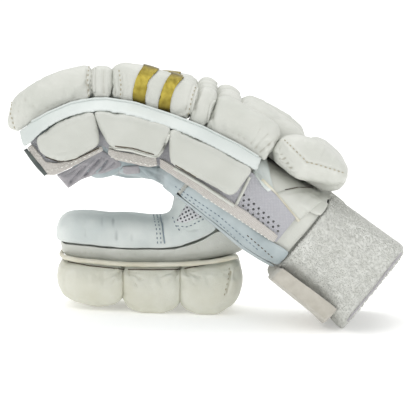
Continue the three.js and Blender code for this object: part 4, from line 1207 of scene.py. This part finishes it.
terryParts = {
    "wristband_loops_near": ("wristband", lambda c, n: outward(c, n) > 0.1 and c.y < 0.003, "spacing"),
    "wristband_loops_far": ("wristband", lambda c, n: outward(c, n) > 0.1 and c.y >= 0.003, "spacing"),
    "wristband_loops_inside": ("wristband", lambda c, n: outward(c, n) <= 0.1, "insideSpacing"),
}
for seed, (name, (node, keep, gap)) in enumerate(terryParts.items()):
    patch = surfacePart(pieces[node], name, keep)
    patch.data.materials.clear()
    runTree(patch, loops, loopKeys, {"Spacing": terrySet[gap], "Loop Size": terrySet["loop"],
            "Yarn": terrySet["yarn"], "Seed": seed + 3, "Material": terryCotton})
    co = points(patch)
    co[:, 2] = np.maximum(co[:, 2], floorLevel)
    setPoints(patch, co)
    finishPiece(patch, None, terryCotton)
    print("  %s: %d triangles" % (name, sum(len(face.vertices) - 2 for face in patch.data.polygons)))

# Stitched seams in the side view: path, the pieces sewn, and the thread
seamSet = {"pitch": 0.0030, "length": 0.0017, "thread": 0.0008, "lift": 0.00012, "step": 1.0}
seams = {
    "tan": [
        ([(-78.5, 94.4), (-79.5, 84.5), (-78.5, 73.3)], ("tip_pad_little",)),
        ([(-129.4, 70.6), (-130.3, 62), (-127.4, 52.1)], ("tip_pad_little",)),
        ([(-58.7, 90.4), (-57.4, 80.5), (-58.1, 71.3)], ("mid_roll_little",)),
        ([(-6.6, 84.5), (-10.6, 73.3), (-13.2, 61.4)], ("mid_roll_little",)),
        ([(50.8, 44.6), (58.7, 37), (65.3, 30.4), (72.9, 28.4), (89.8, 23.1)], ("cuff_roll",)),
        ([(13.9, -40.3), (13.2, -47.5), (10.6, -58.1)], ("thumb_pad_3",)),
    ],
    "pale": [
        ([(-76.6, 95), (-77.5, 84.5), (-76.6, 73.3)], ("tip_pad_little",)),
        ([(-118.8, 37), (-107.6, 23.8), (-93.7, 27.7), (-71.3, 38.3)], ("edge_binding_1",)),
        ([(-63.4, 33.7), (-38.3, 28.4), (-33.7, 28.4)], ("edge_binding_2",)),
        ([(-28.4, 23.8), (9.2, 0), (40.9, -21.1)], ("edge_binding_3",)),
    ],
    "needle": [
        ([(-21.1, 13.9), (-7.3, 4.6), (7.3, -5.3), (21.1, -17.2), (33, -27.7)],
         ("palm_strip", "palm_corner")),
        ([(-19.8, 10.6), (-7.9, 2), (5.3, -7.9), (17.2, -19.1), (27.7, -29.7)],
         ("palm_strip", "palm_corner")),
        ([(-33.7, -4.6), (-31.7, -14.5), (-31, -23.8)], ("thumb_stall",)),
        ([(-36, -4.6), (-34, -14.5), (-33.3, -23.8)], ("thumb_stall",)),
        ([(-19.8, -11.9), (-13.2, -12.5), (-4, -7.9), (1.3, -4.6)], ("thumb_stall",)),
        ([(-23.1, -6.6), (-21.1, -11.9), (-18.5, -15.2)], ("thumb_stall",)),
    ],
    "dark": [
        ([(26.4, -18.5), (35.6, -26.4), (42.9, -33)], ("palm_strip", "hand_shell", "palm_leather")),
    ],
}
stitches, stitchKeys = stitchTree()
threads = {"tan": tanThread, "pale": paleThread, "needle": needleThreadAndShadowLine, "dark": darkThreadAndShadowLine}
for tone, lines in seams.items():
    spots, links = [], []
    for path, sewn in lines:
        trees = [treeOf(pieces[node]) for node in sewn]
        previous = None
        for a, b in zip(path[:-1], path[1:]):
            steps = max(2, int(math.dist(a, b) / seamSet["step"]))
            for k in range(steps):
                place = [a[i] + (b[i] - a[i]) * k / steps for i in range(2)]
                hit = onSide(place, trees, seamSet["lift"])
                if hit is None:
                    previous = None
                    continue
                spots.append(hit[0])
                if previous is not None:
                    links.append((previous, len(spots) - 1))
                previous = len(spots) - 1
    mesh = bpy.data.meshes.new(f"{tone}_stitches")
    mesh.from_pydata(spots, links, [])
    sewing = linkMesh(f"{tone}_stitches", mesh)
    runTree(sewing, stitches, stitchKeys, {"Pitch": seamSet["pitch"], "Length": seamSet["length"],
            "Thread": seamSet["thread"], "Material": threads[tone]})
    finishPiece(sewing, None, threads[tone])
print("loops and stitches done")


# Welts, rims and dark lines of painted shadow where parts meet: thin round strips on the surface, sunk by a
# share of their thickness
weltStep = 3.0  # millimetres of the side view


def welt(name, paths, thickness, material, sink=0.3):
    curve = bpy.data.curves.new(name, "CURVE")
    curve.dimensions = "3D"
    curve.bevel_depth = thickness / 2
    curve.bevel_resolution = 2
    curve.use_fill_caps = True
    curve.resolution_u = 6
    for path, sewn in paths:
        trees = [treeOf(pieces[node]) for node in sewn]
        hits = []
        for a, b in zip(path[:-1], path[1:]):
            steps = max(1, int(math.dist(a, b) / weltStep))
            for k in range(steps):
                place = [a[i] + (b[i] - a[i]) * k / steps for i in range(2)]
                hits.append(onSide(place, trees, thickness * (0.5 - sink)))
        hits.append(onSide(path[-1], trees, thickness * (0.5 - sink)))
        spots = [hit[0] for hit in hits if hit]
        if len(spots) < 2:
            print("  no surface under", name, path[0])
            continue
        spline = curve.splines.new("POLY")
        spline.points.add(len(spots) - 1)
        for point, spot in zip(spline.points, spots):
            point.co = (*spot, 1)
    cord = bpy.data.objects.new(name, curve)
    scene.collection.objects.link(cord)
    graph = bpy.context.evaluated_depsgraph_get()
    mesh = bpy.data.meshes.new_from_object(cord.evaluated_get(graph))
    bpy.data.objects.remove(cord)
    return finishPiece(linkMesh(name, mesh), None, material)


welt("tip_pad_piping",
     [([(-74.6, 95.7), (-75.2, 84.5), (-74.6, 73.3)], ("tip_pad_little", "hinge_roll_little"))],
     0.0016, whiteLeather)
welt("mid_roll_piping",
     [([(-5.3, 84.5), (-9.2, 72.6), (-11.4, 62.2)], ("mid_roll_little", "knuckle_roll_little"))],
     0.0018, whiteLeather)
welt("back_roll_rim",
     [([(8.6, 75.2), (2, 68.6), (-0.7, 56.8)], ("back_roll_little", "knuckle_roll_little"))],
     0.0018, whiteLeather)
welt("side_bar_rim", [(barRim, ("side_bar",))], 0.0016, barLeather)
welt("block_piping", [
    ([(-65.3, 40.3), (-50.2, 38.3), (-34.3, 33.7)], ("side_block_2", "mesh_panel", "edge_binding_2")),
    ([(-22.4, 26.4), (-3.3, 15), (17.2, 1.3)], ("side_block_3", "mesh_panel", "edge_binding_3")),
    ([(-33, 34.3), (-29, 40.9), (-26.1, 48.8)], ("side_block_2", "mesh_panel")),
    ([(17.8, 0.8), (23.1, 11.2), (27.5, 20.5)], ("side_block_3", "mesh_panel"))],
    0.0021, whiteLeather)
# dark lines along the blocks' lower edges: painted shadow
welt("block_contact_shadow_line", [
    ([(-107.2, 33.7), (-99.3, 30.9), (-87.8, 31.9), (-71.9, 39.6)],
     ("side_block_1", "edge_binding_1", "mesh_panel")),
    ([(-65, 41.3), (-50.2, 39.6), (-35.6, 35.3)], ("side_block_2",)),
    ([(-21.5, 28.4), (-2.6, 17.5), (15.8, 4.6)], ("side_block_3",))],
    0.0008, darkThreadAndShadowLine)
# a dark line in the slit under the cuff: painted shadow
welt("cuff_slit_shadow_line",
     [([(50.8, 11.9), (58.7, 13.5), (69.3, 13.2)], ("cuff_under_flap", "cuff_roll", "hand_shell"))],
     0.0008, darkThreadAndShadowLine)
welt("net_edge_binding", [([(35.6, 18.5), (42.2, 11.9), (50.2, 3.3), (60.1, -8.6)],
     ("mesh_panel", "hand_shell", "cuff_under_flap", "side_tab"))], 0.0020, creamLeather)
# a lilac line along the band's open edge, standing for its shaded inside: painted shade
welt("band_edge_shadow_line", [([(127, -30.5), (109, -53.5), (92, -74)], ("wristband",))],
     0.0012, lilacCloth, sink=-0.3)
# a dark line where the thumb pads meet the piping: painted shadow
welt("pad_contact_shadow_line", [
    ([(-92.4, -35.6), (-77.9, -38.3), (-55.4, -40.6), (-37, -40.9), (-18.5, -40.6), (1.3, -37),
      (18.5, -33.7)], ("thumb_pad_1", "thumb_pad_2", "thumb_pad_3"))],
    0.0009, darkThreadAndShadowLine)
# a grey-blue line under the thumb stall's raised lip: painted shadow
welt("thumb_lip_shadow_line", [([(-31.5, -4.4), (-29.7, -14.5), (-28.6, -23.4)], ("thumb_stall",))],
     0.0009, needleThreadAndShadowLine)
print("welts done")

# Floor and light
lightSet = {
    "key": {"place": (-0.9, -1.3, 1.6), "size": 1.3, "power": 8},
    "fill": {"place": (1.4, -1.2, 0.8), "size": 1.8, "power": 2},
    "top": {"place": (0.1, 0.5, 1.9), "size": 1.6, "power": 13},
}
roomSet = {"paper": "#FDFDFC", "paperGlow": 0.25, "roomLight": 0.82}
floor = bpy.data.meshes.new("studio_floor")
floor.from_pydata([(-30, -30, 0), (30, -30, 0), (30, 30, 0), (-30, 30, 0)], [], [(0, 1, 2, 3)])
floorPiece = linkMesh("studio_floor", floor)
paper, tree = newMaterial("matte_paper")
closeMaterial(tree, {"Base Color": linear(roomSet["paper"]), "Roughness": 0.95,
              "Emission Color": linear("#FFFFFF"), "Emission Strength": roomSet["paperGlow"]}, {})
floor.materials.append(paper)
for name, made in lightSet.items():
    light = bpy.data.lights.new(name, "AREA")
    light.size = made["size"]
    light.energy = made["power"]
    lamp = bpy.data.objects.new(name, light)
    lamp.location = made["place"]
    lamp.rotation_euler = (Vector((0, 0, 0.08)) - Vector(made["place"])).to_track_quat("-Z", "Y").to_euler()
    scene.collection.objects.link(lamp)
world = bpy.data.worlds.new("studio")
world.use_nodes = True
background = world.node_tree.nodes["Background"]
background.inputs["Color"].default_value = (1, 1, 1, 1)
background.inputs["Strength"].default_value = roomSet["roomLight"]
scene.world = world
scene.view_settings.view_transform = "Standard"
